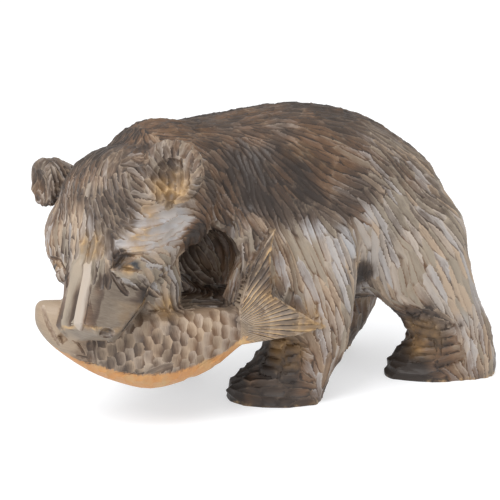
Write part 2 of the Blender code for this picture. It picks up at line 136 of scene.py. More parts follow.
# Each leg with the way its foot points, in degrees from -X towards -Y
LEGS = [(NEAR_FORELEG, -33.0), (FAR_FORELEG, -6.0), (NEAR_HINDLEG, -24.0), (FAR_HINDLEG, 8.0)]

# Rounded masses on the body: centre, then half length, half width, half height
BODY_EGGS = [
    ((-66, -10, 128), (40, 42, 46.5)),
    ((-70, -36, 130), (26, 22, 30)),
    ((-68, 16, 126), (24, 20, 28)),
    ((-74, -48, 118), (21, 11, 16)),
    ((-6, -28, 122), (40, 26, 42)),
    ((-26, -48, 94), (19, 15, 30)),
    ((-13, -53, 82), (14, 11.5, 28)),
    ((-16, 26, 120), (40, 26, 42)),
    ((86, -26, 112), (40, 27, 40)),
    ((84, 24, 112), (40, 28, 40)),
]
# Rounded masses on the head: centre, then half axes along it, to its left and out of it
HEAD_EGGS = [
    ((5, 3, 0.5), (35, 37, 38.5)),
    ((20, 0, 13), (44, 23, 24)),
    ((24, 18, 3), (28, 20, 26)),
    ((22, -21, 3), (28, 22, 26)),
    ((46, 21, 13), (9, 8, 13)),
    ((46, -21, 13), (9, 8, 13)),
]
# Muzzle sections: distance along it, the middle of its bridge and of its flews, to the left,
# then half width and height of its bridge edge, its shoulder, its widest flew and its lip
MUZZLE = [
    (32, 0.0, 0.0, (9, 34), (14, 29), (27, 8), (22, -12)),
    (46, 1.2, -0.7, (6.5, 34), (14.5, 28.5), (29, 6), (23, -8)),
    (62, -0.6, -1.5, (7.2, 31.5), (13, 27), (26.5, 8), (20, -4)),
    (77, -4.9, -2.2, (7.5, 29), (13, 25.5), (20, 14), (13.5, 2)),
]
# The nose's slanted front: distance along, half width, height
NOSE_FRONT = [(78, 10, 28), (82, 11, 24), (85, 12, 15), (83, 11, 6)]
NOSE_MIDDLE = -2.4
# Lower jaw sections: distance along, half width, half thickness, height
JAW = [(26, 30, 19, -11), (46, 30, 23, -17), (60, 27, 24, -24), (70, 20, 14, -22), (84, 12, 8, -19)]
# Each ear's place on the head and its size, on the left (1) and the right (-1), the ways that
# it faces and that its back runs, and its profile: height and radius
EAR_PLACES = {1: (-9, 39.5, 11), -1: (-9, 42, 12)}
EAR_SIZES = {1: 1.0, -1: 0.8}
EAR_FACES = (0.25, 0.45, 0.85)
EAR_BACK = (-1, 0.15, 0)
EAR_PROFILE = [(-14, 12), (-7, 16), (0, 18), (5, 18), (8, 14.5), (8.5, 7)]
# The ear's cup: how far it sits towards the nose and out of the ear, and its half axes
EAR_CUP = (5.0, 10.0, (12.0, 10.5, 6.5))
# Hollows cut from the masses: middle, the way they run in, and half length, width and height
HOLLOWS = [((-52, -42, 92), (0.45, 0.89, 0.0), (28, 19, 20))]
# The grid and the smoothing of the masses alone, and the smoothing of the whole skin
MASS_GRID = 2.0
MASS_SMOOTHING = 30
SKIN_SMOOTHING = 3
# Where the muzzle is smooth, on the head: how low the bridge goes, where the forehead's tufts
# end on it (a start, its growth to the side and its end), where the flews start and how far
# aside they go, and the end, the lowest and the highest place of them all
BRIDGE_LOW = 24
TUFT_ENDS = (33.0, 2.2, 50.0)
FLEW_START = 53.5
FLEW_SIDE = 33
MUZZLE_END = 90
MUZZLE_LOW = -8
MUZZLE_HIGH = 45
# Where the nose starts along the head, and its upper edge
NOSE_START = 79.0
NOSE_EDGE = 78.5

# Salmon sections: middle x, y, z, half height, half thickness
SALMON = [
    (-148.5, -20.5, 70.0, 5.5, 4),
    (-146, -22, 69.0, 9, 7),
    (-139, -27, 64.5, 14, 10),
    (-125, -34, 58.5, 19.5, 14),
    (-112, -39, 53.5, 21.5, 16),
    (-92, -46, 48.5, 22.5, 17),
    (-70, -52, 50.0, 20, 15),
    (-58, -56, 52.5, 17.5, 12),
    (-50, -58, 55, 14.5, 9.5),
    (-42, -60, 58, 11.5, 7),
    (-34, -61, 61.5, 11.5, 5.5),
]
# Tail fan outline, seen from outside: x and z, on the foreleg's outer face
TAIL_FAN = [
    (-45, 49), (-45, 71), (-36, 96), (-21.5, 114), (-24.5, 100), (-24.8, 86), (-23.4, 75.3), (-5.5, 63.3),
    (13, 51), (-8, 49), (-29, 49),
]
TAIL_Y = -67.5
TAIL_THICK = 24.0
# How far behind the fan's face points are still its own, and still its face
FAN_DEPTH = 8.0
FAN_SKIN = 1.5
# The tail's rays: their root, how far the first ray's lies from it, the first ray's angle, the
# step to the next, and their number
FAN_ROOT = (-50.0, 60.0)
FAN_LEAN = (-8.0, -3.0)
FAN_START = 64.0
FAN_STEP = -5.0
FAN_RAYS = 17
# The flutes that make a ray: their distance from the root and their length, and the distance
# up to which they are shallower
FAN_FLUTES = [(20.0, 20.0), (36.0, 26.0), (54.0, 28.0)]
FAN_SHALLOW = 34.0
# How far outside its sections the fish's skin may lie, to the side and above
FISH_SKIN = (4.0, 1.5)
# Further off, in any measure, than what is looked for
FAR_OFF = 9.0
# Where the scales start along the fish, how far before its end they stop, how far along its
# smooth head goes, and the x beyond which nothing is fish
SCALES_START = 31.0
SCALES_STOP = 2.0
FISH_HEAD = 26
FISH_BACK = -38
# As shares of a scale's height and width: the step to the next, and how large it is cut
SCALE_STEP = (0.86, 0.94)
SCALE_LAP = (1.1, 1.25)
# The uncut wood behind the fish: y, lowest z, highest z, front x, back x
WEB = [(-50, 50, 66, -74, -32), (-20, 46, 69, -70, -18), (0, 50, 68, -64, -18)]

# The fur: a place, the way it runs there, a gouge's length and width, and how worn the
# stain is, from 0, dark, to 1, pale
FUR = [
    ((-60, -8, 172), (1, 0, 0), 11, 3.4, 0.15),
    ((-10, 0, 176), (1, 0, 0), 11, 3.4, 0.16),
    ((50, 0, 175), (1, 0, -0.1), 11, 3.6, 0.1),
    ((100, 0, 157), (0.9, 0, -0.5), 12, 3.8, 0.2),
    ((135, -2, 125), (0.6, 0, -0.9), 15, 4.2, 0.55),
    ((150, -4, 80), (0.2, 0, -1), 16, 4.5, 0.5),
    ((-25, -46, 140), (0.3, 0, -1), 16, 3.8, 0.12),
    ((5, -52, 140), (0.8, 0, -0.8), 21, 4.0, 0.1),
    ((40, -54, 130), (1, 0, -0.5), 25, 4.4, 0.4),
    ((70, -54, 110), (0.6, 0, -0.9), 30, 4.8, 0.85),
    ((75, -42, 140), (0.7, 0, -0.9), 16, 4.0, 0.5),
    ((100, -52, 120), (0.8, 0, -0.9), 24, 4.8, 0.65),
    ((125, -48, 105), (0.6, 0, -1), 26, 5.0, 0.82),
    ((-20, -48, 95), (0.1, 0, -1), 22, 4.0, 0.6),
    ((10, -58, 90), (0.42, 0, -1), 34, 4.6, 0.8),
    ((45, -54, 80), (0.15, 0, -1), 34, 4.8, 0.8),
    ((75, -54, 70), (0.3, 0, -1), 28, 4.6, 0.9),
    ((10, -62, 55), (0.36, 0, -1), 28, 4.4, 0.75),
    ((115, -60, 60), (0.45, 0, -1), 32, 4.8, 0.95),
    ((14, -62, 25), (0, -0.1, -1), 25, 4.4, 0.6),
    ((124, -66, 25), (0.2, 0, -1), 22, 4.4, 0.7),
    ((-6, -53, 30), (0.75, -0.66, 0.0), 20, 6.5, 0.35),
    ((-16, -40, 46), (0.8, -0.5, 0.0), 20, 6.5, 0.3),
    ((-18, -40, 18), (0.7, -0.7, 0.0), 18, 6.5, 0.2),
    ((-22, -26, 8), (0.5, -0.8, 0.0), 15, 6.5, 0.1),
    ((-4, -54, 6), (0.8, -0.5, 0.0), 16, 6.5, 0.25),
    ((93, -49, 34), (0.35, -0.9, 0.1), 20, 6.5, 0.3),
    ((99, -57, 24), (0.7, -0.7, 0.1), 20, 6.5, 0.35),
    ((90, -48, 9), (0.35, -0.9, 0.0), 16, 6.5, 0.05),
    ((-25, 46, 140), (0.3, 0, -1), 16, 4.0, 0.2),
    ((40, 54, 130), (1, 0, -0.5), 25, 4.6, 0.4),
    ((70, 54, 105), (0.9, 0, -0.8), 28, 4.8, 0.55),
    ((110, 50, 110), (0.7, 0, -1), 25, 4.8, 0.6),
    ((-30, 60, 60), (0.1, 0, -1), 28, 4.6, 0.6),
    ((30, 54, 75), (0.5, 0, -0.9), 28, 4.8, 0.6),
    ((95, 58, 60), (0.2, 0, -1), 28, 4.8, 0.6),
    ((-40, 62, 20), (0, 0.1, -1), 18, 4.6, 0.4),
    ((80, 58, 20), (0, 0.1, -1), 18, 4.6, 0.4),
    ((40, 0, 46), (1, 0, 0), 16, 5.0, 0.05),
    ((-50, -10, 80), (0.5, 0, -1), 15, 4.6, 0.6),
    ((-95, -8, 163), (-0.1, -0.15, -1), 12, 3.2, 0.25),
    ((-108, -22, 158), (-0.5, -0.3, -1), 12, 3.2, 0.25),
    ((-122, -30, 138), (-0.3, -0.25, -1), 12, 3.2, 0.45),
    ((-132, -40, 120), (-0.2, -0.2, -1), 17, 4.2, 0.85),
    ((-128, -54, 108), (-0.3, -0.2, -1), 17, 3.4, 0.75),
    ((-115, -58, 128), (0.2, -0.3, -1), 10, 3.0, 0.3),
    ((-100, -66, 118), (1, -0.2, 0.12), 21, 5.0, 0.95),
    ((-80, -60, 121), (1, 0, 0.2), 21, 5.0, 1.0),
    ((-68, -56, 106), (0.3, 0, -1), 12, 4.0, 0.7),
    ((-88, -58, 150), (-0.5, 0, 0.8), 10, 4.0, 0.45),
    ((-70, -66, 156), (0.5, 0, 0.8), 10, 4.0, 0.5),
    ((-70, -68, 138), (0.9, 0, -0.3), 10, 4.0, 0.5),
    ((-129, 17, 138), (-0.1, 0.2, -1), 12, 4.0, 0.45),
    ((-62, -54, 130), (0.7, 0, -0.7), 15, 4.0, 0.35),
    ((-100, -62, 100), (0.8, -0.1, -0.7), 13, 3.4, 0.8),
    ((-128, 0, 125), (0.3, 0.3, -1), 12, 3.2, 0.45),
    ((-115, 14, 115), (0.7, 0.3, -0.5), 13, 3.6, 0.5),
    ((-90, 30, 120), (1, 0.1, -0.3), 15, 4.0, 0.5),
]

# How many points the fur's flow is worked out for at once, and how softly its places blend
BATCH = 20000
FUR_BLEND = 20.0
# How many places are tried for the fur's gouges, then, as shares of a gouge's length and
# width, how far apart they stay and how large each is cut, so that they overlap
FUR_TRIES = 70000
FUR_GAP = (0.56, 0.74)
FUR_LAP = (1.15, 1.2)
# The side of the cubes that points are sorted into, to find those near a cut
CELL = 15.0
# How far a cut and a roll reach, in their half lengths and half widths, and how far into
# the wood a cut is felt, in its half widths
CUT_ENDS = (1.4, 1.6)
ROLL_ENDS = (1.1, 1.15)
CUT_REACH = 2.5
# The height below which the soles' edges keep no fur, and below which they are golden
SOLE_EDGE = 1.5
SOLE_RIM = 2.0

# What a cut is for, and what a point is on
ON_ALL, ON_FUR, ON_FISH, ON_FAN, ON_EDGE, ON_ROLL, ON_FACE = range(7)
# The face's own cuts, on both sides (0), the left (1) or the right (-1): place, normal and way
# on the head, then length, width, depth and squareness
FACE = [
    (0, (43.2, 19.3, 25.3), (0.15, 0.35, 0.9), (-0.77, 0.62, -0.1), 14, 2.8, 2.2, 3),
    (0, (38.8, 27.0, 21.5), (0.15, 0.5, 0.85), (-0.2, 0.76, -0.6), 19, 2.8, 2.2, 3),
    (0, (42.6, 21.8, 24.2), (0.1, 0.4, 0.9), (-0.55, 0.75, -0.35), 15, 6.5, 1.4, 3),
    (0, (46.6, 23.8, 22.2), (0.4, 0.5, 0.75), (0.05, 0.75, -0.65), 15, 2.4, 1.5, 3),
    (0, (54.0, 22.8, 17.0), (0.5, 0.75, 0.4), (0.28, 0.3, -0.9), 13, 3.6, 1.1, 3),
    (0, (53.0, 25.0, 13.0), (0.5, 0.75, 0.4), (0.24, 0.2, -0.94), 15, 4.2, 1.3, 3),
    (0, (51.0, 27.0, 10.5), (0.45, 0.85, 0.3), (0.25, -0.05, -0.97), 15, 4.2, 1.3, 3),
    (0, (48.3, 29.0, 8.0), (0.4, 0.9, 0.2), (0.4, -0.1, -0.9), 15, 4.2, 1.3, 3),
    (0, (46.0, 31.0, 3.5), (0.4, 0.9, 0.2), (0.45, -0.15, -0.88), 15, 4.2, 1.3, 3),
    (0, (43.0, 33.0, -1.0), (0.4, 0.9, 0.1), (0.45, -0.2, -0.87), 15, 4.4, 1.3, 3),
    (0, (42.5, 32.0, 7.0), (0.3, 0.9, 0.2), (-0.1, 0.15, -0.98), 17, 4.4, 1.3, 3),
    (0, (55.0, 28.0, -13.0), (0.3, 0.95, 0.1), (0.8, -0.15, -0.56), 21, 6.0, 2.0, 3),
    (0, (53.5, 28.8, -18.5), (0.2, 0.97, 0.0), (0.8, -0.15, -0.56), 21, 6.0, 2.0, 3),
    (0, (52.5, 28.6, -24.0), (0.1, 0.95, -0.2), (0.8, -0.15, -0.56), 21, 6.0, 2.0, 3),
    (0, (51.5, 27.5, -29.5), (0.0, 0.9, -0.4), (0.8, -0.15, -0.56), 21, 6.0, 2.0, 3),
    (0, (51.0, 25.0, -35.0), (0.0, 0.8, -0.6), (0.8, -0.15, -0.56), 19, 6.0, 2.0, 3),
    (1, (80.2, 11.0, 18.5), (0.6, 0.65, 0.45), (0.1, 0.7, -0.6), 9, 6.5, 2.8, 2),
    (-1, (79.0, 15.5, 15.0), (0.6, 0.75, 0.25), (0.1, 0.7, -0.6), 8, 6.0, 2.4, 2),
    (0, (56.5, 25.2, 2.0), (0.3, 0.9, 0.0), (0.5, -0.2, 0.8), 10, 7.0, 4.5, 2),
    (0, (67.0, 22.0, 6.5), (0.35, 0.92, 0.1), (0.89, -0.36, 0.27), 28, 3.4, 1.8, 4),
    (1, (62.0, 3.2, 31.3), (0.17, 0.08, 0.98), (1.0, -0.22, -0.17), 38, 7.4, 0.22, 6),
    (1, (62.0, -4.2, 31.3), (0.17, -0.08, 0.98), (1.0, -0.28, -0.17), 38, 8.0, 0.22, 6),
    (0, (-2.0, 44.0, 11.0), (0.25, 0.35, 0.9), (-1.0, 0.1, 0.0), 15, 5.0, 1.4, 3),
    (0, (-1.0, 48.5, 10.5), (0.25, 0.2, 0.95), (-0.8, 0.6, 0.05), 14, 5.0, 1.4, 3),
    (0, (-2.0, 39.5, 11.5), (0.25, 0.5, 0.85), (-1.0, -0.4, 0.0), 14, 5.0, 1.4, 3),
    (0, (6.5, 40.5, 13.0), (0.0, 0.6, 0.75), (1.0, -0.1, 0.1), 14, 7.0, 2.4, 3),
]
# An eye's place on the left side of the head, its half axes and its two directions there
EYE = ((44.0, 26.4, 20.2), (4.0, 1.8), (0.28, 0.55, -0.78), (0.9, -0.1, 0.35))
# The salmon's own cuts on its near flank: place, normal and way on the 300-unit bear,
# then length, width, depth and squareness
FISH_LINES = [
    ((-145.6, -33.6, 65.8), (-0.73, -0.67, 0.0), (0.30, -0.30, -0.9), 25, 2.8, 1.5, 3),
    ((-126.0, -49.0, 56.0), (-0.5, -0.85, 0.0), (0.05, 0.0, -1.0), 30, 2.6, 1.5, 3),
    ((-134.0, -44.0, 58.0), (-0.6, -0.8, 0.0), (0.45, -0.2, -0.8), 18, 2.2, 0.9, 3),
    ((-130.0, -45.5, 49.0), (-0.6, -0.75, -0.3), (0.9, -0.4, -0.1), 13, 2.0, 0.9, 3),
    ((-127.0, -46.5, 45.0), (-0.5, -0.75, -0.4), (0.9, -0.4, -0.1), 13, 2.0, 0.9, 3),
    ((-114.0, -53.0, 39.0), (-0.4, -0.8, -0.45), (0.85, -0.4, 0.25), 11, 1.9, 0.9, 3),
    ((-109.0, -55.5, 38.6), (-0.4, -0.8, -0.45), (0.85, -0.4, 0.25), 11, 1.9, 0.9, 3),
    ((-104.0, -58.0, 38.6), (-0.4, -0.8, -0.45), (0.85, -0.4, 0.25), 11, 1.9, 0.9, 3),
    ((-94.0, -62.0, 40.5), (-0.25, -0.9, -0.35), (0.9, -0.3, 0.3), 20, 6.0, 1.6, 3),
    ((-66.0, -65.5, 41.5), (0.1, -0.86, -0.45), (0.9, -0.2, 0.42), 15, 2.4, 1.0, 3),
    ((-61.0, -65.8, 42.0), (0.1, -0.86, -0.45), (0.9, -0.2, 0.42), 13, 2.4, 1.0, 3),
]
# Where thin stain lets warm wood through: a place and a radius on the 300-unit bear
WARM_SPOTS = [
    ((-84, -60, 140), 12), ((-112, -65, 100.5), 4), ((-102, -65, 116), 11), ((-98, -62, 126), 9),
    ((2, -67, 56), 13), ((-22, -67, 78), 9), ((94, -52, 30), 15), ((-6, -53, 36), 13), ((42, -60, 84), 9),
    ((-100, -60, 80), 4), ((-106, -63, 76.5), 4), ((-112, -64, 71.5), 4), ((-118, -64, 66.5), 4),
    ((-128, -52, 112), 9), ((-84, -53, 72), 9), ((-62, -50, 96), 11),
]
# The insteps' rounded rolls: a place and a way on the bear, a length and a width
ROLLS = [
    ((86.2, -55.4, 47.6), (0.6, -0.5, -0.5), 9, 6.5),
    ((91.2, -57.2, 43.8), (0.7, -0.5, -0.3), 10, 6.0),
    ((94.1, -55.8, 38.3), (0.75, -0.6, -0.15), 14, 5.4),
    ((96.6, -54.6, 32.2), (0.7, -0.6, -0.1), 17, 6.0),
    ((97.5, -54.8, 26.2), (0.65, -0.7, 0.0), 18, 5.8),
    ((97.1, -55.4, 21.0), (0.65, -0.7, 0.05), 18, 5.0),
    ((95.3, -54.8, 16.2), (0.65, -0.7, 0.05), 18, 5.0),
    ((102.7, -62.2, 37.6), (0.8, -0.5, 0.2), 8, 5.6),
    ((107.2, -63.6, 33.0), (0.8, -0.45, 0.25), 11, 6.4),
    ((107.7, -63.1, 27.2), (0.8, -0.45, 0.2), 14, 5.6),
    ((109.5, -64.2, 22.0), (0.8, -0.45, 0.2), 15, 5.2),
    ((110.5, -64.3, 16.0), (0.8, -0.4, 0.3), 19, 6.4),
    ((-9.7, -47.8, 39.2), (0.5, -0.85, -0.1), 11, 5.6),
    ((-10.6, -47.0, 33.9), (0.5, -0.85, -0.1), 11, 5.6),
    ((-11.5, -47.4, 28.6), (0.5, -0.8, -0.15), 12, 5.6),
    ((-13.6, -46.6, 23.0), (0.6, -0.8, -0.15), 13, 5.8),
    ((-3.6, -54.8, 36.2), (0.75, -0.66, 0.1), 10, 5.4),
    ((-3.2, -55.2, 30.8), (0.75, -0.66, 0.1), 10, 5.4),
    ((-3.8, -55.1, 25.4), (0.75, -0.66, 0.1), 11, 5.6),
    ((-5.0, -54.8, 19.6), (0.75, -0.66, 0.1), 12, 5.8),
]
ROLL_DEEP = 1.1
# The room of a roll, as shares of its length and width, and how much of its seams shows
ROLL_ROOM = (0.54, 0.6)
ROLL_SEAM = 0.4
# Where only the face's own cuts go: a place and a radius on the 300-unit bear
CLEAR_SPOTS = [((-112, -64, 102), 8), ((-106, -65, 95), 9), ((-97, -63, 91), 8)]
# Where a sheen is painted into the colour, in place of the reflection of the white surround on the waxed
# wood: a place and a radius on the 300-unit bear
PAINTED_SHEEN_SPOTS = [
    ((-102, -66, 118), 13), ((-82, -60, 121), 15), ((-112, -60, 112), 7), ((30, -60, 100), 14),
    ((10, -60, 112), 10), ((-20, -60, 88), 10), ((118, -56, 40), 14), ((44, -56, 112), 12),
    ((0, -20, 176), 36),
]
# Places painted darker: a place and a radius on the 300-unit bear
DARK_SPOTS = [
    ((-114, -62, 104.7), 6), ((-66, -56, 112), 10), ((-101, -63, 83), 6),
    ((-30, -20, 10), 16), ((88, -40, 8), 16), ((-14, -44, 32), 9), ((52, -50, 72), 12),
]
# How worn the stain is: on the bridge, its slope and the shoulder, on the flews, the nose and
# the fish, and on the fan's top with how much more there is further down; the bridge's paleness
# is partly painted light, and the darker slope and shoulder are painted shade on the muzzle's
# sides. Then how much less it is on the rolls and in the dark spots, and how much more on the fish's head
PLANE_WEAR_AND_SHADE = [0.91, 0.62, 0.3]
FLEW_WEAR = 0.6
NOSE_WEAR = 0.68
FISH_WEAR = 0.56
FAN_WEAR = (0.48, 0.27)
ROLL_DULL = 0.12
SPOT_DULL = 0.7
HEAD_WORN = 0.25
# The strokes' own map: its size on the 300-unit bear, and how far the strokes' maps lie apart
MAP_SIZE = 300.0
MAP_SHIFT = 170.0
# The grain of the wood: its hairs along and across a stroke, and the strength of its relief
HAIR_SCALE = (60.0, 520.0, 1.0)
GRAIN_STRENGTH = 0.35
GRAIN_DEPTH = 0.0006

# The stage: floor, what the camera looks at on the 300-unit bear, and the two lights
FLOOR_SIZE = 600.0
FLOOR_GLOW = (0.985, 0.99, 1.0, 1.0)
TARGET = (0.0, 0.0, 87.0)
SUN_PLACE = (-0.4, -0.5, 1.2)
SUN_WAY = (0.30, 0.42, -1.0)
SUN_SPREAD = math.radians(50.0)
KEY_PLACE = (-0.75, -0.45, 0.85)
KEY_SIZE = 0.5


class BearShape(bpy.types.PropertyGroup):
    """The carving's size, pose and fineness."""

    length: bpy.props.FloatProperty(
        name="Length", description="Nose to rump, over all", default=CAD_LENGTH, min=0.05, unit="LENGTH"
    )
    head_turn: bpy.props.FloatProperty(
        name="Head turn", description="How far the head turns to the bear's left",
        default=math.radians(30.0), subtype="ANGLE",
    )
    head_bow: bpy.props.FloatProperty(
        name="Head bow", description="How far the muzzle points down",
        default=math.radians(67.0), subtype="ANGLE",
    )
    head_tilt: bpy.props.FloatProperty(
        name="Head tilt", description="How far the crown leans to one side",
        default=math.radians(8.5), subtype="ANGLE",
    )
    fineness: bpy.props.FloatProperty(
        name="Fineness", description="Grid that the carved surface is made on, on a 300-unit bear",
        default=0.8, min=0.5, max=4.0,
    )
    faces: bpy.props.IntProperty(
        name="Faces", description="Triangles kept after the carving", default=194000, min=5000, max=199000
    )


class FurCut(bpy.types.PropertyGroup):
    """The gouges that make the fur."""

    long: bpy.props.FloatProperty(
        name="Length", description="A gouge's length, times the fur table's", default=1.0, min=0.3, max=3.0
    )
    wide: bpy.props.FloatProperty(
        name="Width", description="A gouge's width, times the fur table's", default=1.0, min=0.3, max=3.0
    )
    deep: bpy.props.FloatProperty(
        name="Depth", description="A gouge's depth, as a share of its width", default=0.32, min=0.0, max=1.0
    )
    uneven: bpy.props.FloatProperty(
        name="Unevenness", description="How much one gouge differs from the next",
        default=1.0, min=0.0, max=3.0,
    )
    seed: bpy.props.IntProperty(name="Seed", description="Another seed places the gouges anew", default=5)


class FishCut(bpy.types.PropertyGroup):
    """The carving of the salmon."""

    scale_wide: bpy.props.FloatProperty(
        name="Scale width", description="One column of scales, on a 300-unit bear", default=5.2, min=1.0
    )
    scale_tall: bpy.props.FloatProperty(
        name="Scale height", description="One scale's height, on a 300-unit bear", default=8.6, min=1.0
    )
    scale_deep: bpy.props.FloatProperty(
        name="Scale depth", description="How deep a scale is scooped, on a 300-unit bear",
        default=0.6, min=0.0,
    )
    ray_deep: bpy.props.FloatProperty(
        name="Ray depth", description="Depth of the flutes of the tail and fins", default=1.3, min=0.0
    )


def tint(name, description, red, green, blue):
    """A colour that a user may change."""
    return bpy.props.FloatVectorProperty(
        name=name, description=description, subtype="COLOR", size=4, min=0.0, max=1.0,
        default=(red, green, blue, 1.0),
    )


class WoodFinish(bpy.types.PropertyGroup):
    """Stain, wear and bare wood, and the colours of painted shade and of a painted sheen."""

    # The dark stain's colour also paints the shade of the hollows
    dark: tint("Dark stain", "Stain where it lies thick", 0.026, 0.018, 0.014)
    brown: tint("Brown stain", "Stain on most of the fur", 0.074, 0.050, 0.036)
    pale: tint("Worn stain", "Stain rubbed thin on the proud planes", 0.350, 0.300, 0.255)
    edge: tint("Worn edge", "Wood that shows on rubbed arrises", 0.440, 0.290, 0.140)
    tan: tint("Tan", "Worn stain on the warmer gouges", 0.345, 0.250, 0.165)
    eye: tint("Eye", "Colour of the eyes", 0.030, 0.032, 0.035)
    # The painted sheen's colour, in place of the reflection of the white surround
    painted_sheen: tint("PaintedSheen", "Colour of the sheen on some planes", 0.335, 0.330, 0.338)
    russet: tint("Russet", "Colour of the warm patches in the dark stain", 0.140, 0.070, 0.032)
    olive: tint("Olive", "Worn stain on the duller gouges", 0.185, 0.150, 0.100)
    ochre: tint("Ochre", "Thin stain over warm wood, in recesses", 0.200, 0.112, 0.040)
    bare: tint("Bare wood", "Unstained wood of the fish's belly", 0.440, 0.205, 0.068)
    roughness: bpy.props.FloatProperty(
        name="Roughness", description="Roughness of the rubbed, waxed stain", default=0.48,
        min=0.0, max=1.0, subtype="FACTOR",
    )


class StudioSetup(bpy.types.PropertyGroup):
    """Pale floor, soft lights and the camera."""

    floor: tint("Floor", "Colour of the floor", 0.50, 0.505, 0.515)
    glow: bpy.props.FloatProperty(
        name="Floor light", description="Light that comes through the pale floor", default=0.55, min=0.0
    )
    sky: bpy.props.FloatProperty(
        name="Surround light", description="Light from all round", default=0.80, min=0.0
    )
    sun: bpy.props.FloatProperty(
        name="Top light", description="Strength of the wide, soft light from above", default=1.0, min=0.0
    )
    key: bpy.props.FloatProperty(
        name="Key light", description="Power of the soft light at the upper left",
        default=9.0, min=0.0, unit="POWER",
    )
    azimuth: bpy.props.FloatProperty(
        name="Camera azimuth", description="Camera's turn round the bear from -Y",
        default=math.radians(-30.0), subtype="ANGLE",
    )
    elevation: bpy.props.FloatProperty(
        name="Camera elevation", description="Camera's height angle",
        default=math.radians(12.0), subtype="ANGLE",
    )
    distance: bpy.props.FloatProperty(
        name="Camera distance", description="Camera to the bear's middle",
        default=0.75, min=0.1, unit="LENGTH",
    )
    lens: bpy.props.FloatProperty(
        name="Lens", description="Focal length in millimetres", default=86.4, min=10.0
    )


# Helpers
def deselect():
    """Leaves nothing selected."""
    if bpy.context.object and bpy.context.object.mode != "OBJECT":
        bpy.ops.object.mode_set(mode="OBJECT")
    bpy.ops.object.select_all(action="DESELECT")


def only(obj):
    """Selects obj alone and makes it active."""
    deselect()
    obj.select_set(True)
    bpy.context.view_layer.objects.active = obj


def facing_out(obj):
    """Turns all faces of obj outwards."""
    only(obj)
    bpy.ops.object.mode_set(mode="EDIT")
    bpy.ops.mesh.select_all(action="SELECT")
    bpy.ops.mesh.normals_make_consistent(inside=False)
    bpy.ops.object.mode_set(mode="OBJECT")


def loft(rings):
    """A closed skin over rings of points: a filled circle, extruded to each further ring."""
    count = len(rings[0])
    deselect()
    bpy.ops.mesh.primitive_circle_add(vertices=count, radius=1.0, fill_type="NGON", location=(0, 0, 0))
    obj = bpy.context.object
    bpy.ops.object.mode_set(mode="EDIT")
    bpy.ops.mesh.select_all(action="SELECT")
    for _ in rings[1:]:
        bpy.ops.mesh.extrude_region_move(TRANSFORM_OT_translate={"value": (0.0, 0.0, 1.0)})
    bpy.ops.object.mode_set(mode="OBJECT")
    for vert in obj.data.vertices:
        turn = (math.atan2(vert.co.y, vert.co.x) / math.tau - 0.25) * count
        vert.co = rings[round(vert.co.z)][round(turn) % count]
    facing_out(obj)
    return obj


def egg(centre, axes):
    """A closed ellipsoid with three half axes given as vectors."""
    deselect()
    bpy.ops.mesh.primitive_ico_sphere_add(subdivisions=4, radius=1.0, location=(0, 0, 0))
    obj = bpy.context.object
    turn = Matrix((axes[0], axes[1], axes[2])).transposed().to_4x4()
    turn.translation = centre
    obj.matrix_world = turn
    bpy.ops.object.transform_apply(location=True, rotation=True, scale=True)
    facing_out(obj)
    return obj


def oval(centre, side, up, square=2.0, count=40):
    """A ring of points round an oval; square over 2 fills its corners."""
    ring = []
    for i in range(count):
        angle = math.tau * i / count
        c, s = math.cos(angle), math.sin(angle)
        u = math.copysign(abs(c) ** (2.0 / square), c)
        v = math.copysign(abs(s) ** (2.0 / square), s)
        ring.append(centre + side * u + up * v)
    return ring


def smooth_stations(stations, steps=4):
    """Stations with more between them, on a smooth curve through the given ones."""
    table = np.array(stations, float)
    padded = np.vstack([2 * table[0] - table[1], table, 2 * table[-1] - table[-2]])
    out = []
    for i in range(1, len(padded) - 2):
        p0, p1, p2, p3 = padded[i - 1:i + 3]
        for k in range(steps):
            t = k / steps
            out.append(
                0.5 * (2 * p1 + (p2 - p0) * t + (2 * p0 - 5 * p1 + 4 * p2 - p3) * t ** 2
                       + (3 * p1 - p0 - 3 * p2 + p3) * t ** 3)
            )
    out.append(table[-1])
    return out


def joined(parts, name):
    """All parts as one object."""
    deselect()
    for part in parts:
        part.select_set(True)
    bpy.context.view_layer.objects.active = parts[0]
    bpy.ops.object.join()
    obj = bpy.context.object
    obj.name = name
    obj.data.name = name
    return obj


def settled(obj, kind, **settings):
    """Adds a modifier to obj and applies it."""
    only(obj)
    modifier = obj.modifiers.new(kind.title(), kind)
    for key, value in settings.items():
        setattr(modifier, key, value)
    bpy.ops.object.modifier_apply(modifier=modifier.name)


def unit(vector):
    """The vector at length 1."""
    return vector / max(np.linalg.norm(vector), 1e-9)


# The head's own directions
class Head:
    """The head's place and turn: along it to the nose, to its left, and out of its forehead."""

    def __init__(self, shape):
        self.turn = (
            Matrix.Rotation(shape.head_turn, 3, "Z")
            @ Matrix.Rotation(-shape.head_bow, 3, "Y")
            @ Matrix.Rotation(shape.head_tilt, 3, "Z")
        )

    def way(self, step, side=1):
        """A direction on the head as one on the bear; side -1 mirrors it to the right."""
        along, left, out = step
        return self.turn @ Vector((-along, -left * side, out))

    def place(self, spot, side=1):
        """A place on the head as one on the bear; side -1 mirrors it likewise."""
        return SKULL + self.way(spot, side)

    def parts(self, points):
        """Each point's distance along the head, to its left and out of its forehead."""
        local = (points - np.array(SKULL)) @ np.array(self.turn)
        return -local[:, 0], -local[:, 1], local[:, 2]


# The masses
def torso():
    """The barrel of the body, from the neck to the rump."""
    rings = []
    for x, y, low, high, half in smooth_stations(TORSO):
        centre = Vector((x, y, (low + high) / 2))
        rings.append(oval(centre, Vector((0, half, 0)), Vector((0, 0, (high - low) / 2)), 2.25))
    return loft(rings)


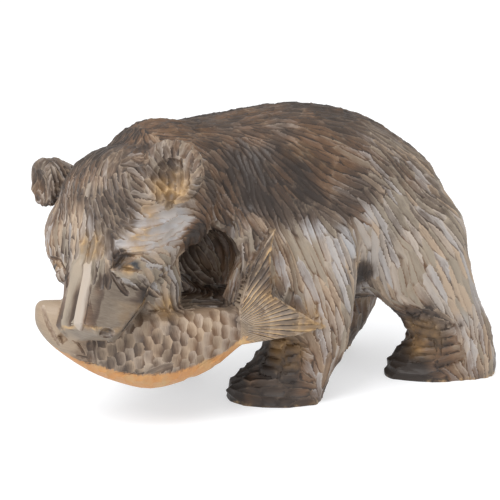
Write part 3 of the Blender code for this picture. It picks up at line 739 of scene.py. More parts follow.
def leg(stations, heading):
    """A leg from its sole up into the body, its foot turned by heading."""
    angle = math.radians(heading)
    forward = Vector((-math.cos(angle), -math.sin(angle), 0.0))
    across = Vector((-forward.y, forward.x, 0.0))
    rings = []
    for z, x, y, half_length, half_width in smooth_stations(stations):
        rings.append(oval(Vector((x, y, z)), forward * half_length, across * half_width, 2.5))
    return loft(rings)


def axes_of(sizes):
    """Three half axes of the given sizes, along x, y and z."""
    return [Vector(row) for row in np.diag(np.array(sizes, float))]


def masses(head):
    """The big rounded masses of the bear, before its edges are cut."""
    parts = [torso()]
    for stations, heading in LEGS:
        parts.append(leg(stations, heading))
    for centre, sizes in BODY_EGGS:
        parts.append(egg(Vector(centre), axes_of(sizes)))
    for centre, sizes in HEAD_EGGS:
        parts.append(egg(head.place(centre), [head.way(axis) for axis in axes_of(sizes)]))
    return parts


def both_sides(head, rows):
    """A ring down the left ends of rows across the muzzle and back up their right ends."""
    ring = [head.place((along, middle + wide, out)) for along, middle, wide, out in rows]
    ring += [head.place((along, middle - wide, out)) for along, middle, wide, out in reversed(rows)]
    return ring


def muzzle(head):
    """The muzzle's planes: bridge, sides and flews, and the nose's slanted front."""
    rings = []
    for along, bridge, flew, *corners in MUZZLE:
        middles = [bridge, bridge, flew, flew]
        rings.append(both_sides(head, [(along, at, wide, out) for at, (wide, out) in zip(middles, corners)]))
    rings.append(both_sides(head, [(along, NOSE_MIDDLE, wide, out) for along, wide, out in NOSE_FRONT]))
    return loft(rings)


def jaw(head):
    """The lower jaw, behind the fish."""
    rings = []
    for along, half, thick, out in JAW:
        side, up = head.way((0, half, 0)), head.way((0, 0, thick))
        rings.append(oval(head.place((along, 0, out)), side, up, 2.4))
    return loft(rings)


def cut_out(obj, tool):
    """Cuts tool out of obj and removes it."""
    settled(obj, "BOOLEAN", operation="DIFFERENCE", solver="EXACT", object=tool)
    bpy.data.objects.remove(tool)


def ear(head, side):
    """A cupped ear on the left (1) or the right (-1), its rim thickest at the back."""
    axis = head.way(EAR_FACES, side).normalized()
    back = head.way(EAR_BACK, side)
    up = (back - axis * back.dot(axis)).normalized()
    across = axis.cross(up)
    centre = head.place(EAR_PLACES[side], side)
    rings = []
    for rise, radius in EAR_PROFILE:
        radius *= EAR_SIZES[side]
        rings.append(oval(centre + axis * rise, across * radius, up * radius, 2.2, 28))
    lobe = loft(rings)
    forth, rise, (tall, wide, deep) = EAR_CUP
    cut_out(lobe, egg(centre - up * forth + axis * rise, (up * tall, across * wide, axis * deep)))
    return lobe


def salmon():
    """The fish's body, a curved loft with a deep, rounded section."""
    rings = []
    stations = smooth_stations(SALMON)
    for i, (x, y, z, high, thick) in enumerate(stations):
        before = stations[max(i - 1, 0)]
        after = stations[min(i + 1, len(stations) - 1)]
        run = Vector((after[0] - before[0], after[1] - before[1], 0.0)).normalized()
        side = Vector((run.y, -run.x, 0.0))
        rings.append(oval(Vector((x, y, z)), side * thick, Vector((0, 0, high)), 2.2, 32))
    return loft(rings)


def tail_fan():
    """The fish's tail, a flat fan that lies on the foreleg."""
    outer = [Vector((x, TAIL_Y, z)) for x, z in TAIL_FAN]
    inner = [Vector((x, TAIL_Y + TAIL_THICK, z)) for x, z in TAIL_FAN]
    return loft([outer, inner])


def web():
    """The uncut wood behind the fish, which ties its back to the chest."""
    rings = []
    for y, low, high, front, back in WEB:
        middle = Vector(((front + back) / 2, y, (low + high) / 2))
        side, up = Vector(((back - front) / 2, 0, 0)), Vector((0, 0, (high - low) / 2))
        rings.append(oval(middle, side, up, 2.6, 24))
    return loft(rings)


def rough_form(shape, head):
    """The whole bear and fish as one skin on the 300-unit bear, before the gouges."""
    body = joined(masses(head), "masses")
    settled(body, "REMESH", mode="VOXEL", voxel_size=MASS_GRID)
    settled(body, "SMOOTH", factor=0.5, iterations=MASS_SMOOTHING)
    for middle, run, (long, wide, high) in HOLLOWS:
        way = Vector(run).normalized()
        across = way.cross(Vector((0, 0, 1)))
        cut_out(body, egg(Vector(middle), (way * long, across * wide, Vector((0, 0, high)))))
    parts = [body, muzzle(head), jaw(head), ear(head, 1), ear(head, -1), salmon(), tail_fan(), web()]
    whole = joined(parts, "bear_carving")
    settled(whole, "REMESH", mode="VOXEL", voxel_size=shape.fineness)
    settled(whole, "SMOOTH", factor=0.5, iterations=SKIN_SMOOTHING)
    return whole


# The gouges
def read(items, key, kind=float, wide=1):
    """One value of each item of a mesh, or a row of wide values, as an array."""
    values = np.empty(len(items) * wide, kind)
    items.foreach_get(key, values)
    return values.reshape(-1, wide) if wide > 1 else values


def surface(mesh):
    """A mesh's points and normals."""
    return read(mesh.vertices, "co", wide=3), read(mesh.vertices, "normal", wide=3)


def cubes_of(points, cell):
    """The points' indices, by the cube of side cell that each is in."""
    keys = np.floor(points / cell).astype(int)
    order = np.lexsort(keys.T)
    keys = keys[order]
    starts = np.flatnonzero(np.any(np.diff(keys, axis=0), axis=1)) + 1
    groups = np.split(order, starts)
    return {tuple(keys[at]): group for at, group in zip(np.concatenate([[0], starts]), groups)}


def cube_of(point, cell):
    """The cube of side cell that a point is in."""
    return tuple(math.floor(value / cell) for value in point)


def cubes_round(cube):
    """A cube and the 26 round it."""
    x, y, z = cube
    return [(i, j, k) for i in (x - 1, x, x + 1) for j in (y - 1, y, y + 1) for k in (z - 1, z, z + 1)]


def near(cubes, point, cell):
    """The indices in the cubes round a point."""
    found = [cubes[cube] for cube in cubes_round(cube_of(point, cell)) if cube in cubes]
    return np.concatenate(found) if found else np.empty(0, int)


def fur_at(points, normals):
    """The fur's way along the surface, and its gouges' length, width and wear, at each point."""
    places = np.array([row[0] for row in FUR], float)
    ways = np.array([unit(np.array(row[1], float)) for row in FUR])
    sizes = np.array([row[2:] for row in FUR], float)
    way = np.empty_like(points)
    size = np.empty((len(points), 3))
    for start in range(0, len(points), BATCH):
        part = slice(start, start + BATCH)
        gaps = ((points[part, None, :] - places[None]) ** 2).sum(axis=2) + FUR_BLEND
        weights = gaps ** -2.0
        weights /= weights.sum(axis=1)[:, None]
        size[part] = weights @ sizes
        flow = weights @ ways
        flow -= (flow * normals[part]).sum(axis=1)[:, None] * normals[part]
        way[part] = flow / np.maximum(np.linalg.norm(flow, axis=1), 1e-9)[:, None]
    return way, size


def salmon_line():
    """The salmon's sections, closely spaced, and how far along it each one is."""
    line = np.array(smooth_stations(SALMON, 8))
    steps = np.hypot(*np.diff(line[:, :2], axis=0).T)
    return line, np.concatenate([[0.0], np.cumsum(steps)])


def fish_place(points):
    """Each point's place on the fish: run along it, rise over its half height, and reach,
    where 1 is its skin."""
    beside, above = FISH_SKIN
    run = np.zeros(len(points))
    rise = np.full(len(points), FAR_OFF)
    reach = np.full(len(points), FAR_OFF)
    for (x, y, z, high, thick), far in zip(*salmon_line()):
        d = points - (x, y, z)
        flat = np.hypot(d[:, 0], d[:, 1]) / (thick + beside)
        here = np.hypot(flat, d[:, 2] / (high + above))
        closer = here < reach
        reach[closer] = here[closer]
        run[closer] = far
        rise[closer] = d[closer, 2] / high
    return run, rise, reach


def on_fan(points, depth=FAN_DEPTH):
    """Whether each point is on the tail fan, by crossings of its outline, and less than depth
    behind its face."""
    inside = np.zeros(len(points), bool)
    for (x0, z0), (x1, z1) in zip(TAIL_FAN, TAIL_FAN[1:] + TAIL_FAN[:1]):
        if z0 == z1:
            continue
        spans = (z0 > points[:, 2]) != (z1 > points[:, 2])
        crossing = x0 + (points[:, 2] - z0) * (x1 - x0) / (z1 - z0)
        inside ^= spans & (points[:, 0] < crossing)
    return inside & (points[:, 1] < TAIL_Y + depth)


def muzzle_skin(head, points):
    """Where each point is on the muzzle's smooth planes, which stop at the cheek's tufts:
    whether it is, and how far across it is, where 1 is the bridge's edge and 2 the shoulder."""
    along, left, out = head.parts(points)
    table = np.array([(row[0], row[1], row[3][0], row[4][0]) for row in MUZZLE])
    middle, bridge, shoulder = (np.interp(along, table[:, 0], table[:, k]) for k in (1, 2, 3))
    off = abs(left - middle)
    across = np.where(off < bridge, off / bridge, 1.0 + (off - bridge) / (shoulder - bridge))
    start, slope, latest = TUFT_ENDS
    top = (out > BRIDGE_LOW) & (along > np.minimum(start + slope * off, latest))
    flews = (along > FLEW_START) & (abs(left) < FLEW_SIDE)
    return (top | flews) & (along < MUZZLE_END) & (out > MUZZLE_LOW) & (out < MUZZLE_HIGH), across


def skin_of(points):
    """What each point is on: fur, fish, a face's or an instep's own cuts, or the tail fan."""
    skin = np.where(fish_place(points)[2] < 1.0, ON_FISH, ON_FUR)
    for spot, radius in CLEAR_SPOTS:
        skin[np.linalg.norm(points - spot, axis=1) < radius] = ON_FACE
    for place, way, long, wide in ROLLS:
        d = points - place
        along = d @ unit(np.array(way))
        apart = np.sqrt(np.maximum((d * d).sum(axis=1) - along * along, 0.0))
        skin[(abs(along) < long * ROLL_ROOM[0]) & (apart < wide * ROLL_ROOM[1])] = ON_ROLL
    skin[on_fan(points)] = ON_EDGE
    skin[on_fan(points, FAN_SKIN)] = ON_FAN
    return skin


def fur_here(head, points):
    """Whether fur is cut at each point: not on the fish, the muzzle or the soles."""
    return (skin_of(points) == ON_FUR) & ~muzzle_skin(head, points)[0] & (points[:, 2] > SOLE_EDGE)


class Cuts:
    """A list of gouge cuts: each a place, normal, way and side, with its size and lie."""

    def __init__(self):
        self.rows = []

    def add(
        self, point, normal, way, long, wide, deep, square=2.0, raise_=0.0, roll=0.0, pitch=0.0, where=ON_ALL,
    ):
        """Adds a cut. Over 2, square fills its corners; where says what skin it is cut in."""
        normal = unit(np.array(normal, float))
        way = np.array(way, float)
        way = unit(way - normal * way.dot(normal))
        self.rows.append((
            np.array(point, float), normal, way, np.cross(normal, way),
            long / 2.0, wide / 2.0, deep, square, raise_, roll, pitch, where,
        ))


def fur_cuts(points, normals, head, fur):
    """Overlapping gouges all over the fur, longer and wider where the fur table says so."""
    rng = np.random.default_rng(fur.seed)
    order = np.flatnonzero(fur_here(head, points))
    rng.shuffle(order)
    order = order[:FUR_TRIES]
    ways, sizes = fur_at(points[order], normals[order])
    sides = np.cross(normals[order], ways)
    cell = CELL * fur.long
    kept = {}
    cuts = Cuts()
    for index, way, side, (long, wide, _) in zip(order, ways, sides, sizes):
        long *= fur.long
        wide *= fur.wide
        point, normal = points[index], normals[index]
        own = cube_of(point, cell)
        others = [spot for cube in cubes_round(own) for spot in kept.get(cube, ())]
        if others:
            d = np.array(others) - point
            u = d @ way / (long * FUR_GAP[0])
            v = d @ side / (wide * FUR_GAP[1])
            if np.any((u * u + v * v < 1.0) & (abs(d @ normal) < wide * 1.5)):
                continue
        kept.setdefault(own, []).append(point)
        turn = rng.normal(0.0, 0.06) * fur.uneven
        big = 1.0 + rng.uniform(-0.15, 0.2) * fur.uneven
        cuts.add(
            point, normal, way + side * turn,
            long * FUR_LAP[0] * big, wide * FUR_LAP[1] * big, wide * fur.deep * big,
            square=4.0, raise_=rng.uniform(-0.2, 0.2) * fur.uneven,
            roll=rng.uniform(-0.1, 0.5) * fur.uneven, pitch=rng.uniform(-0.1, 0.3) * fur.uneven, where=ON_FUR,
        )
    return cuts


def salmon_spot(run, rise, flank):
    """A place on the fish's flank, run along it and at rise of its half height: the point, its
    normal, the fish's way there and its half height."""
    line, far = salmon_line()
    x, y, z, high, thick = (np.interp(run, far, line[:, k]) for k in range(5))
    ahead = [np.interp(run + 1.0, far, line[:, k]) - np.interp(run - 1.0, far, line[:, k]) for k in range(2)]
    way = unit(np.array([ahead[0], ahead[1], 0.0]))
    out = np.array([-way[1], way[0], 0.0]) * flank
    flat = math.sqrt(max(1.0 - rise * rise, 0.0))
    point = np.array([x, y, z + high * rise]) + out * thick * flat
    normal = unit(out * flat / thick + np.array([0.0, 0.0, rise / high]))
    return point, normal, way, high


def face_cuts(head):
    """The eyes, nostrils, mouth corners, bridge, ears and the jaw's flutes, from their table."""
    cuts = Cuts()
    for sides, place, normal, way, *size in FACE:
        for side in (1, -1) if sides == 0 else (sides,):
            cuts.add(head.place(place, side), head.way(normal, side), head.way(way, side), *size)
    return cuts


def line_cuts():
    """The salmon's mouth, gill cover and fins, from their table."""
    cuts = Cuts()
    for row in FISH_LINES:
        cuts.add(*row, where=ON_FISH)
    return cuts


def roll_cuts(points, normals):
    """The rounded rolls of the insteps, from their table."""
    cuts = Cuts()
    for place, way, long, wide in ROLLS:
        normal = normals[np.linalg.norm(points - place, axis=1).argmin()]
        cuts.add(place, normal, way, long, wide, -ROLL_DEEP, square=4.0, raise_=1.0, where=ON_ROLL)
    return cuts


def scale_cuts(fish):
    """Scale scoops in staggered columns along both flanks of the fish."""
    cuts = Cuts()
    rng = np.random.default_rng(3)
    column = 0
    run = SCALES_START
    end = salmon_line()[1][-1] - SCALES_STOP
    step = fish.scale_tall * SCALE_STEP[0]
    while run < end:
        high = salmon_spot(run, 0.0, -1.0)[3]
        count = int(high * 1.9 / step)
        for flank in (-1.0, 1.0):
            for k in range(-count, count + 1):
                rise = (k + 0.5 * (column % 2)) * step / high
                if abs(rise) > 0.96:
                    continue
                point, normal, way, _ = salmon_spot(run, rise, flank)
                deep = fish.scale_deep * (1.5 if column < 3 else 1.0) * rng.uniform(0.85, 1.15)
                up = np.array([0.0, 0.0, 1.0]) + way * rng.normal(0.0, 0.05)
                cuts.add(
                    point, normal, -up, fish.scale_tall * SCALE_LAP[0], fish.scale_wide * SCALE_LAP[1],
                    deep, square=2.4, roll=0.25, raise_=rng.uniform(-0.1, 0.1), where=ON_FISH,
                )
        run += fish.scale_wide * SCALE_STEP[1]
        column += 1
    return cuts


def fan_root(spin):
    """Where on the tail the ray at each angle starts: the steep ones further back and lower."""
    share = np.clip(np.asarray(spin) / FAN_START, 0.0, 1.0)
    return FAN_ROOT[0] + FAN_LEAN[0] * share, FAN_ROOT[1] + FAN_LEAN[1] * share


def fan_spin(points):
    """The angle of the ray that each point of the fan lies on."""
    spin = np.zeros(len(points))
    for _ in range(5):
        x, z = fan_root(spin)
        spin = np.degrees(np.arctan2(points[:, 2] - z, points[:, 0] - x))
    return spin


def fan_cuts(fish):
    """Ray flutes that spread from the root of the tail over its fan."""
    cuts = Cuts()
    step = math.radians(abs(FAN_STEP))
    for k in range(FAN_RAYS):
        spin = FAN_START + FAN_STEP * (k + 0.5)
        x, z = fan_root(spin)
        angle = math.radians(spin)
        way = (math.cos(angle), 0, math.sin(angle))
        for reach, long in FAN_FLUTES:
            spot = (x + way[0] * reach, TAIL_Y, z + way[2] * reach)
            deep = fish.ray_deep * min(1.0, reach / FAN_SHALLOW)
            cuts.add(spot, (0, -1, 0), way, long, reach * step * 1.2, deep, square=4.0, where=ON_FAN)
    return cuts


def cut_levels(points, cuts, cell=CELL):
    """How deep the lowest cut at each point is, how far above it the next one, and which it is."""
    cubes = cubes_of(points, cell)
    skin = skin_of(points)
    sink = np.zeros(len(points))
    second = np.zeros(len(points))
    owner = np.full(len(points), -1)
    for index, row in enumerate(cuts.rows):
        point, normal, way, side, half_long, half_wide, deep, square, raise_, roll, pitch, where = row
        found = near(cubes, point, cell)
        if where != ON_ALL:
            found = found[skin[found] == where]
        if len(found) == 0:
            continue
        d = points[found] - point
        u = d @ way / half_long
        v = d @ side / half_wide
        level = (abs(u) ** square + v * v - 1.0 + raise_ + roll * v + pitch * u) * deep
        if deep < 0.0:
            level = np.maximum(level, deep)
        end, side_end = CUT_ENDS if deep > 0.0 else ROLL_ENDS
        level[(abs(u) > end) | (abs(v) > side_end)] = 0.0
        level[abs(d @ normal) > half_wide * CUT_REACH] = 0.0
        lower = level < sink[found]
        second[found] = np.where(lower, sink[found], np.minimum(second[found], level))
        sink[found[lower]] = level[lower]
        owner[found[lower]] = index
    return sink, second - sink, owner


def carve(mesh, cuts):
    """Sinks each point of the mesh to its lowest cut."""
    points, normals = surface(mesh)
    sink, _, _ = cut_levels(points, cuts)
    points += normals * sink[:, None]
    mesh.vertices.foreach_set("co", points.ravel())
    mesh.update()


# What the finish reads from the mesh
def neighbour_bend(mesh, points, normals):
    """How far each point stands above the middle of its neighbours, over their distance."""
    edges = read(mesh.edges, "vertices", int, 2)
    total = np.zeros_like(points)
    length = np.zeros(len(points))
    count = np.zeros(len(points))
    gap = np.linalg.norm(points[edges[:, 0]] - points[edges[:, 1]], axis=1)
    for a, b in ((0, 1), (1, 0)):
        np.add.at(total, edges[:, a], points[edges[:, b]])
        np.add.at(length, edges[:, a], gap)
        np.add.at(count, edges[:, a], 1.0)
    count = np.maximum(count, 1.0)
    off = points - total / count[:, None]
    return (off * normals).sum(axis=1) / np.maximum(length / count, 1e-9)


def shelter(mesh, points, normals, spots=14000, rays=20, reach=45.0, lift=0.8, lean=0.6, fall=0.6):
    """How much of the sky the carving itself hides from each point, from 0 to 1, which the finish paints as
    shade.
    """
    tree = BVHTree.FromPolygons(
        [tuple(p) for p in points], [tuple(face.vertices) for face in mesh.polygons], all_triangles=False
    )
    rng = np.random.default_rng(11)
    chosen = rng.choice(len(points), min(spots, len(points)), replace=False)
    ways = rng.normal(size=(rays, 3))
    ways /= np.linalg.norm(ways, axis=1)[:, None]
    kd = KDTree(len(chosen))
    hidden = []
    for at, index in enumerate(chosen):
        point, normal = Vector(points[index]), Vector(normals[index])
        kd.insert(point, at)
        start = point + normal * lift
        hits = 0.0
        for way in ways:
            way = Vector(way)
            if way.dot(normal) < 0.0:
                way = -way
            way = (way + normal * lean).normalized()
            distance = tree.ray_cast(start, way, reach)[3]
            if distance is not None:
                hits += 1.0 - fall * distance / reach
        hidden.append(hits / rays)
    kd.balance()
    result = np.zeros(len(points))
    for index, point in enumerate(points):
        weight = 0.0
        value = 0.0
        for _, at, distance in kd.find_n(point, 4):
            share = 1.0 / (distance + 0.5)
            weight += share
            value += share * hidden[at]
        result[index] = value / weight
    return result


def smooth_step(low, high, value):
    """0 below low, 1 above high, smooth between."""
    t = np.clip((value - low) / (high - low), 0.0, 1.0)
    return t * t * (3.0 - 2.0 * t)


def set_attribute(mesh, name, domain, values):
    """Stores one number for each point or face."""
    attribute = mesh.attributes.new(name, "FLOAT", domain)
    attribute.data.foreach_set("value", np.asarray(values, np.float32))


def fade(points, spot, radius, low, high):
    """1 near a spot and 0 away from it, changing between low and high times its radius."""
    return 1.0 - smooth_step(low, high, np.linalg.norm(points - spot, axis=1) / radius)


def nearest_fade(points, spots, low, high):
    """The strongest fade that a table of spots gives at each point."""
    return np.maximum.reduce([fade(points, spot, radius, low, high) for spot, radius in spots])


def notch_gap(points):
    """Each point's distance, seen from the side, to the edge of the fan's notch."""
    gap = np.full(len(points), np.inf)
    for (x0, z0), (x1, z1) in zip(TAIL_FAN[3:8], TAIL_FAN[4:9]):
        x, z = points[:, 0] - x0, points[:, 2] - z0
        wide, high = x1 - x0, z1 - z0
        share = np.clip((x * wide + z * high) / (wide ** 2 + high ** 2), 0.0, 1.0)
        gap = np.minimum(gap, np.hypot(x - share * wide, z - share * high))
    return gap


def eye_marks(points, head):
    """How much each point is of an eye, and of the warm ring round it."""
    spot, (long, wide), way, other = EYE
    eye = np.zeros(len(points))
    ring = np.zeros(len(points))
    for side in (1, -1):
        d = points - np.array(head.place(spot, side))
        u = d @ np.array(head.way(way, side).normalized()) / long
        v = d @ np.array(head.way(other, side).normalized()) / wide
        off = np.where(np.linalg.norm(d, axis=1) < 3.0 * long, np.hypot(u, v), FAR_OFF)
        eye = np.maximum(eye, 1.0 - smooth_step(0.75, 1.1, off))
        ring = np.maximum(ring, 0.4 - 0.4 * smooth_step(1.3, 2.2, off))
    return eye, ring


def dress(mesh, head, cuts):
    """Stores what the finish needs: wear, bends, bare wood and each gouge's own tone, with the occlusion that
    is painted as shade, the inward bends painted as shade in the creases, and the spots of painted sheen.
    """
    points, normals = surface(mesh)
    bend = neighbour_bend(mesh, points, normals)
    run, rise, reach = fish_place(points)
    along = head.parts(points)[0]
    height = points[:, 2]
    fish = (reach < 1.02) & (points[:, 0] < FISH_BACK)
    fan = on_fan(points)
    plane, across = muzzle_skin(head, points)
    plane &= ~fish
    pale = fur_at(points, normals)[1][:, 2].copy()
    strip = 1.0 + 0.5 * smooth_step(70.0, 50.0, along)
    # Each muzzle plane's paleness: wear, with painted light on the bridge and painted shade on its sloping
    # sides and shoulders
    planes = np.select([across < 1.0, across < strip, across < 2.0], PLANE_WEAR_AND_SHADE, FLEW_WEAR)
    pale[plane] = planes[plane]
    pale[plane & (along > NOSE_START)] = NOSE_WEAR
    pale[fish] = FISH_WEAR
    pale[fan] = (FAN_WEAR[0] + FAN_WEAR[1] * smooth_step(92.0, 66.0, height))[fan]
    pale[skin_of(points) == ON_ROLL] -= ROLL_DULL
    for spot, radius in DARK_SPOTS:
        pale -= SPOT_DULL * fade(points, spot, radius, 0.5, 1.3)
    pale[fish & (run < FISH_HEAD)] += HEAD_WORN
    gold = (notch_gap(points) < 1.5) & (points[:, 1] < TAIL_Y + 2.5)
    gold |= plane & (abs(along - NOSE_EDGE) < 1.0)
    gold |= height < SOLE_RIM
    eye, ring = eye_marks(points, head)
    stored = {
        "Pale": pale,
        "Edge": np.maximum(smooth_step(0.06, 0.30, bend), gold),
        "Gold": gold,
        # Painted shade in the creases, where the surface bends inwards
        "CreaseShade": smooth_step(-0.04, -0.30, bend),
        "HollowShade": shelter(mesh, points, normals),
        "Bare": np.where(fish, smooth_step(-0.25, -0.95, rise - 0.002 * run), 0.0),
        "Plane": plane,
        "Fish": fish | fan,
        "Warm": np.maximum(nearest_fade(points, WARM_SPOTS, 0.4, 1.3), ring),
        "PaintedSheen": nearest_fade(points, PAINTED_SHEEN_SPOTS, 0.5, 1.2),
        "Eye": eye,
        "Ray": 1.0 + (fan_spin(points) - FAN_START) / FAN_STEP,
        "Fan": fan & (normals[:, 1] < -0.5),
    }
    for name, values in stored.items():
        set_attribute(mesh, name, "POINT", values)
    dress_strokes(mesh, points, cuts)


def dress_strokes(mesh, points, cuts):
    """Stores each gouge's tone, a painted shadow along the seam on its lower side, a painted highlight along
    the seam on its upper side and at its upper end, as though the light fell from above, and a map that runs
    along it.
    """
    owner = cut_levels(read(mesh.polygons, "center", wide=3), cuts)[2]
    gap = cut_levels(points, cuts)[1]
    tones = np.random.default_rng(2).uniform(0.0, 1.0, len(cuts.rows) + 1)
    set_attribute(mesh, "Tone", "FACE", tones[owner])

    corners = read(mesh.loops, "vertex_index", int)
    mine = np.repeat(owner, read(mesh.polygons, "loop_total", int))
    place, way, side, half_long, half_wide, deep = (
        np.array([row[k] for row in cuts.rows])[mine] for k in (0, 2, 3, 4, 5, 6)
    )
    d = points[corners] - place
    down = (d * way).sum(axis=1)
    across = (d * side).sum(axis=1)
    seam = 1.0 - smooth_step(0.1, 0.9, gap[corners])
    seam[mine < 0] = 0.0
    seam[deep < 0.0] *= ROLL_SEAM
    # The side of each gouge that faces down gets a painted shadow, and the side that faces up, with its upper
    # end, a painted highlight
    lower = across / half_wide * np.where(side[:, 2] > 0, -1.0, 1.0)
    set_attribute(mesh, "PaintedShadow", "CORNER", seam * smooth_step(0.1, 0.5, lower))
    set_attribute(mesh, "PaintedHighlight", "CORNER", seam * smooth_step(0.1, 0.5, np.maximum(-lower, -down / half_long)))
    shift = tones[mine] * MAP_SHIFT
    uv = np.stack([down + shift, across + shift * 1.7], axis=1) / MAP_SIZE
    layer = mesh.uv_layers.new(name="Gouge")
    layer.data.foreach_set("uv", uv.astype(np.float32).ravel())


def flat_soles(obj):
    """Cuts the soles flat at z = 0, closes them and makes every face a triangle."""
    only(obj)
    bpy.ops.object.mode_set(mode="EDIT")
    bpy.ops.mesh.select_all(action="SELECT")
    bpy.ops.mesh.bisect(plane_co=(0, 0, 0), plane_no=(0, 0, -1), use_fill=True, clear_outer=True)
    bpy.ops.mesh.select_all(action="SELECT")
    bpy.ops.mesh.quads_convert_to_tris(quad_method="BEAUTY", ngon_method="BEAUTY")
    bpy.ops.object.mode_set(mode="OBJECT")


def in_frame(shape, place):
    """Where a place on the 300-unit bear is in the part's frame, in metres."""
    scale = shape.length / SPAN
    middle = (CAD_LOW + CAD_HIGH) / 2
    return Vector((
        (place[0] - MIDDLE[0]) * scale + middle.x, (place[1] - MIDDLE[1]) * scale + middle.y, place[2] * scale
    ))


def to_metres(obj, shape):
    """Scales the 300-unit carving to metres and puts it on the frame."""
    only(obj)
    obj.scale = [shape.length / SPAN] * 3
    obj.location = in_frame(shape, (0.0, 0.0, 0.0))
    bpy.ops.object.transform_apply(location=True, rotation=True, scale=True)


# The finish
class Nodes:
    """Small helper that adds and links shader nodes."""

    def __init__(self, material):
        material.use_nodes = True
        self.tree = material.node_tree
        self.tree.nodes.clear()

    def add(self, kind, **inputs):
        """A new node of a kind, with its inputs fed."""
        node = self.tree.nodes.new(kind)
        self.feed(node, **inputs)
        return node

    def feed(self, node, **inputs):
        """Links or sets a node's inputs, each by its name, or by i and its number, such as i6."""
        for key, value in inputs.items():
            socket = node.inputs[int(key[1:])] if key[0] == "i" and key[1:].isdigit() else node.inputs[key]
            if isinstance(value, bpy.types.NodeSocket):
                self.tree.links.new(value, socket)
            else:
                socket.default_value = value

    def attribute(self, name):
        node = self.add("ShaderNodeAttribute")
        node.attribute_name = name
        return node.outputs["Fac"]

    def math(self, operation, a, b=0.0, clamp=False):
        node = self.add("ShaderNodeMath", i0=a, i1=b)
        node.operation = operation
        node.use_clamp = clamp
        return node.outputs[0]

    def mix(self, factor, a, b):
        """Colour a where factor is 0, colour b where it is 1."""
        node = self.tree.nodes.new("ShaderNodeMix")
        node.data_type = "RGBA"
        node.clamp_factor = True
        self.feed(node, i0=factor, i6=a, i7=b)
        return node.outputs[2]

    def ramp(self, factor, low, high):
        """0 where factor is low, 1 where it is high, smooth between."""
        node = self.add("ShaderNodeMapRange", Value=factor)
        node.inputs["From Min"].default_value = low
        node.inputs["From Max"].default_value = high
        node.interpolation_type = "SMOOTHSTEP"
        return node.outputs["Result"]

    def noise(self, vector, scale, detail, roughness):
        node = self.add("ShaderNodeTexNoise", Vector=vector, Scale=scale, Detail=detail, Roughness=roughness)
        return node.outputs["Fac"]

    def plus(self, a, b, **options):
        return self.math("ADD", a, b, **options)

    def minus(self, a, b):
        return self.math("SUBTRACT", a, b)

    def times(self, a, b, **options):
        return self.math("MULTIPLY", a, b, **options)

    def most(self, a, b):
        return self.math("MAXIMUM", a, b)

    def fraction(self, a, b):
        """What is left of a times b after its whole number."""
        return self.math("FRACT", self.times(a, b))


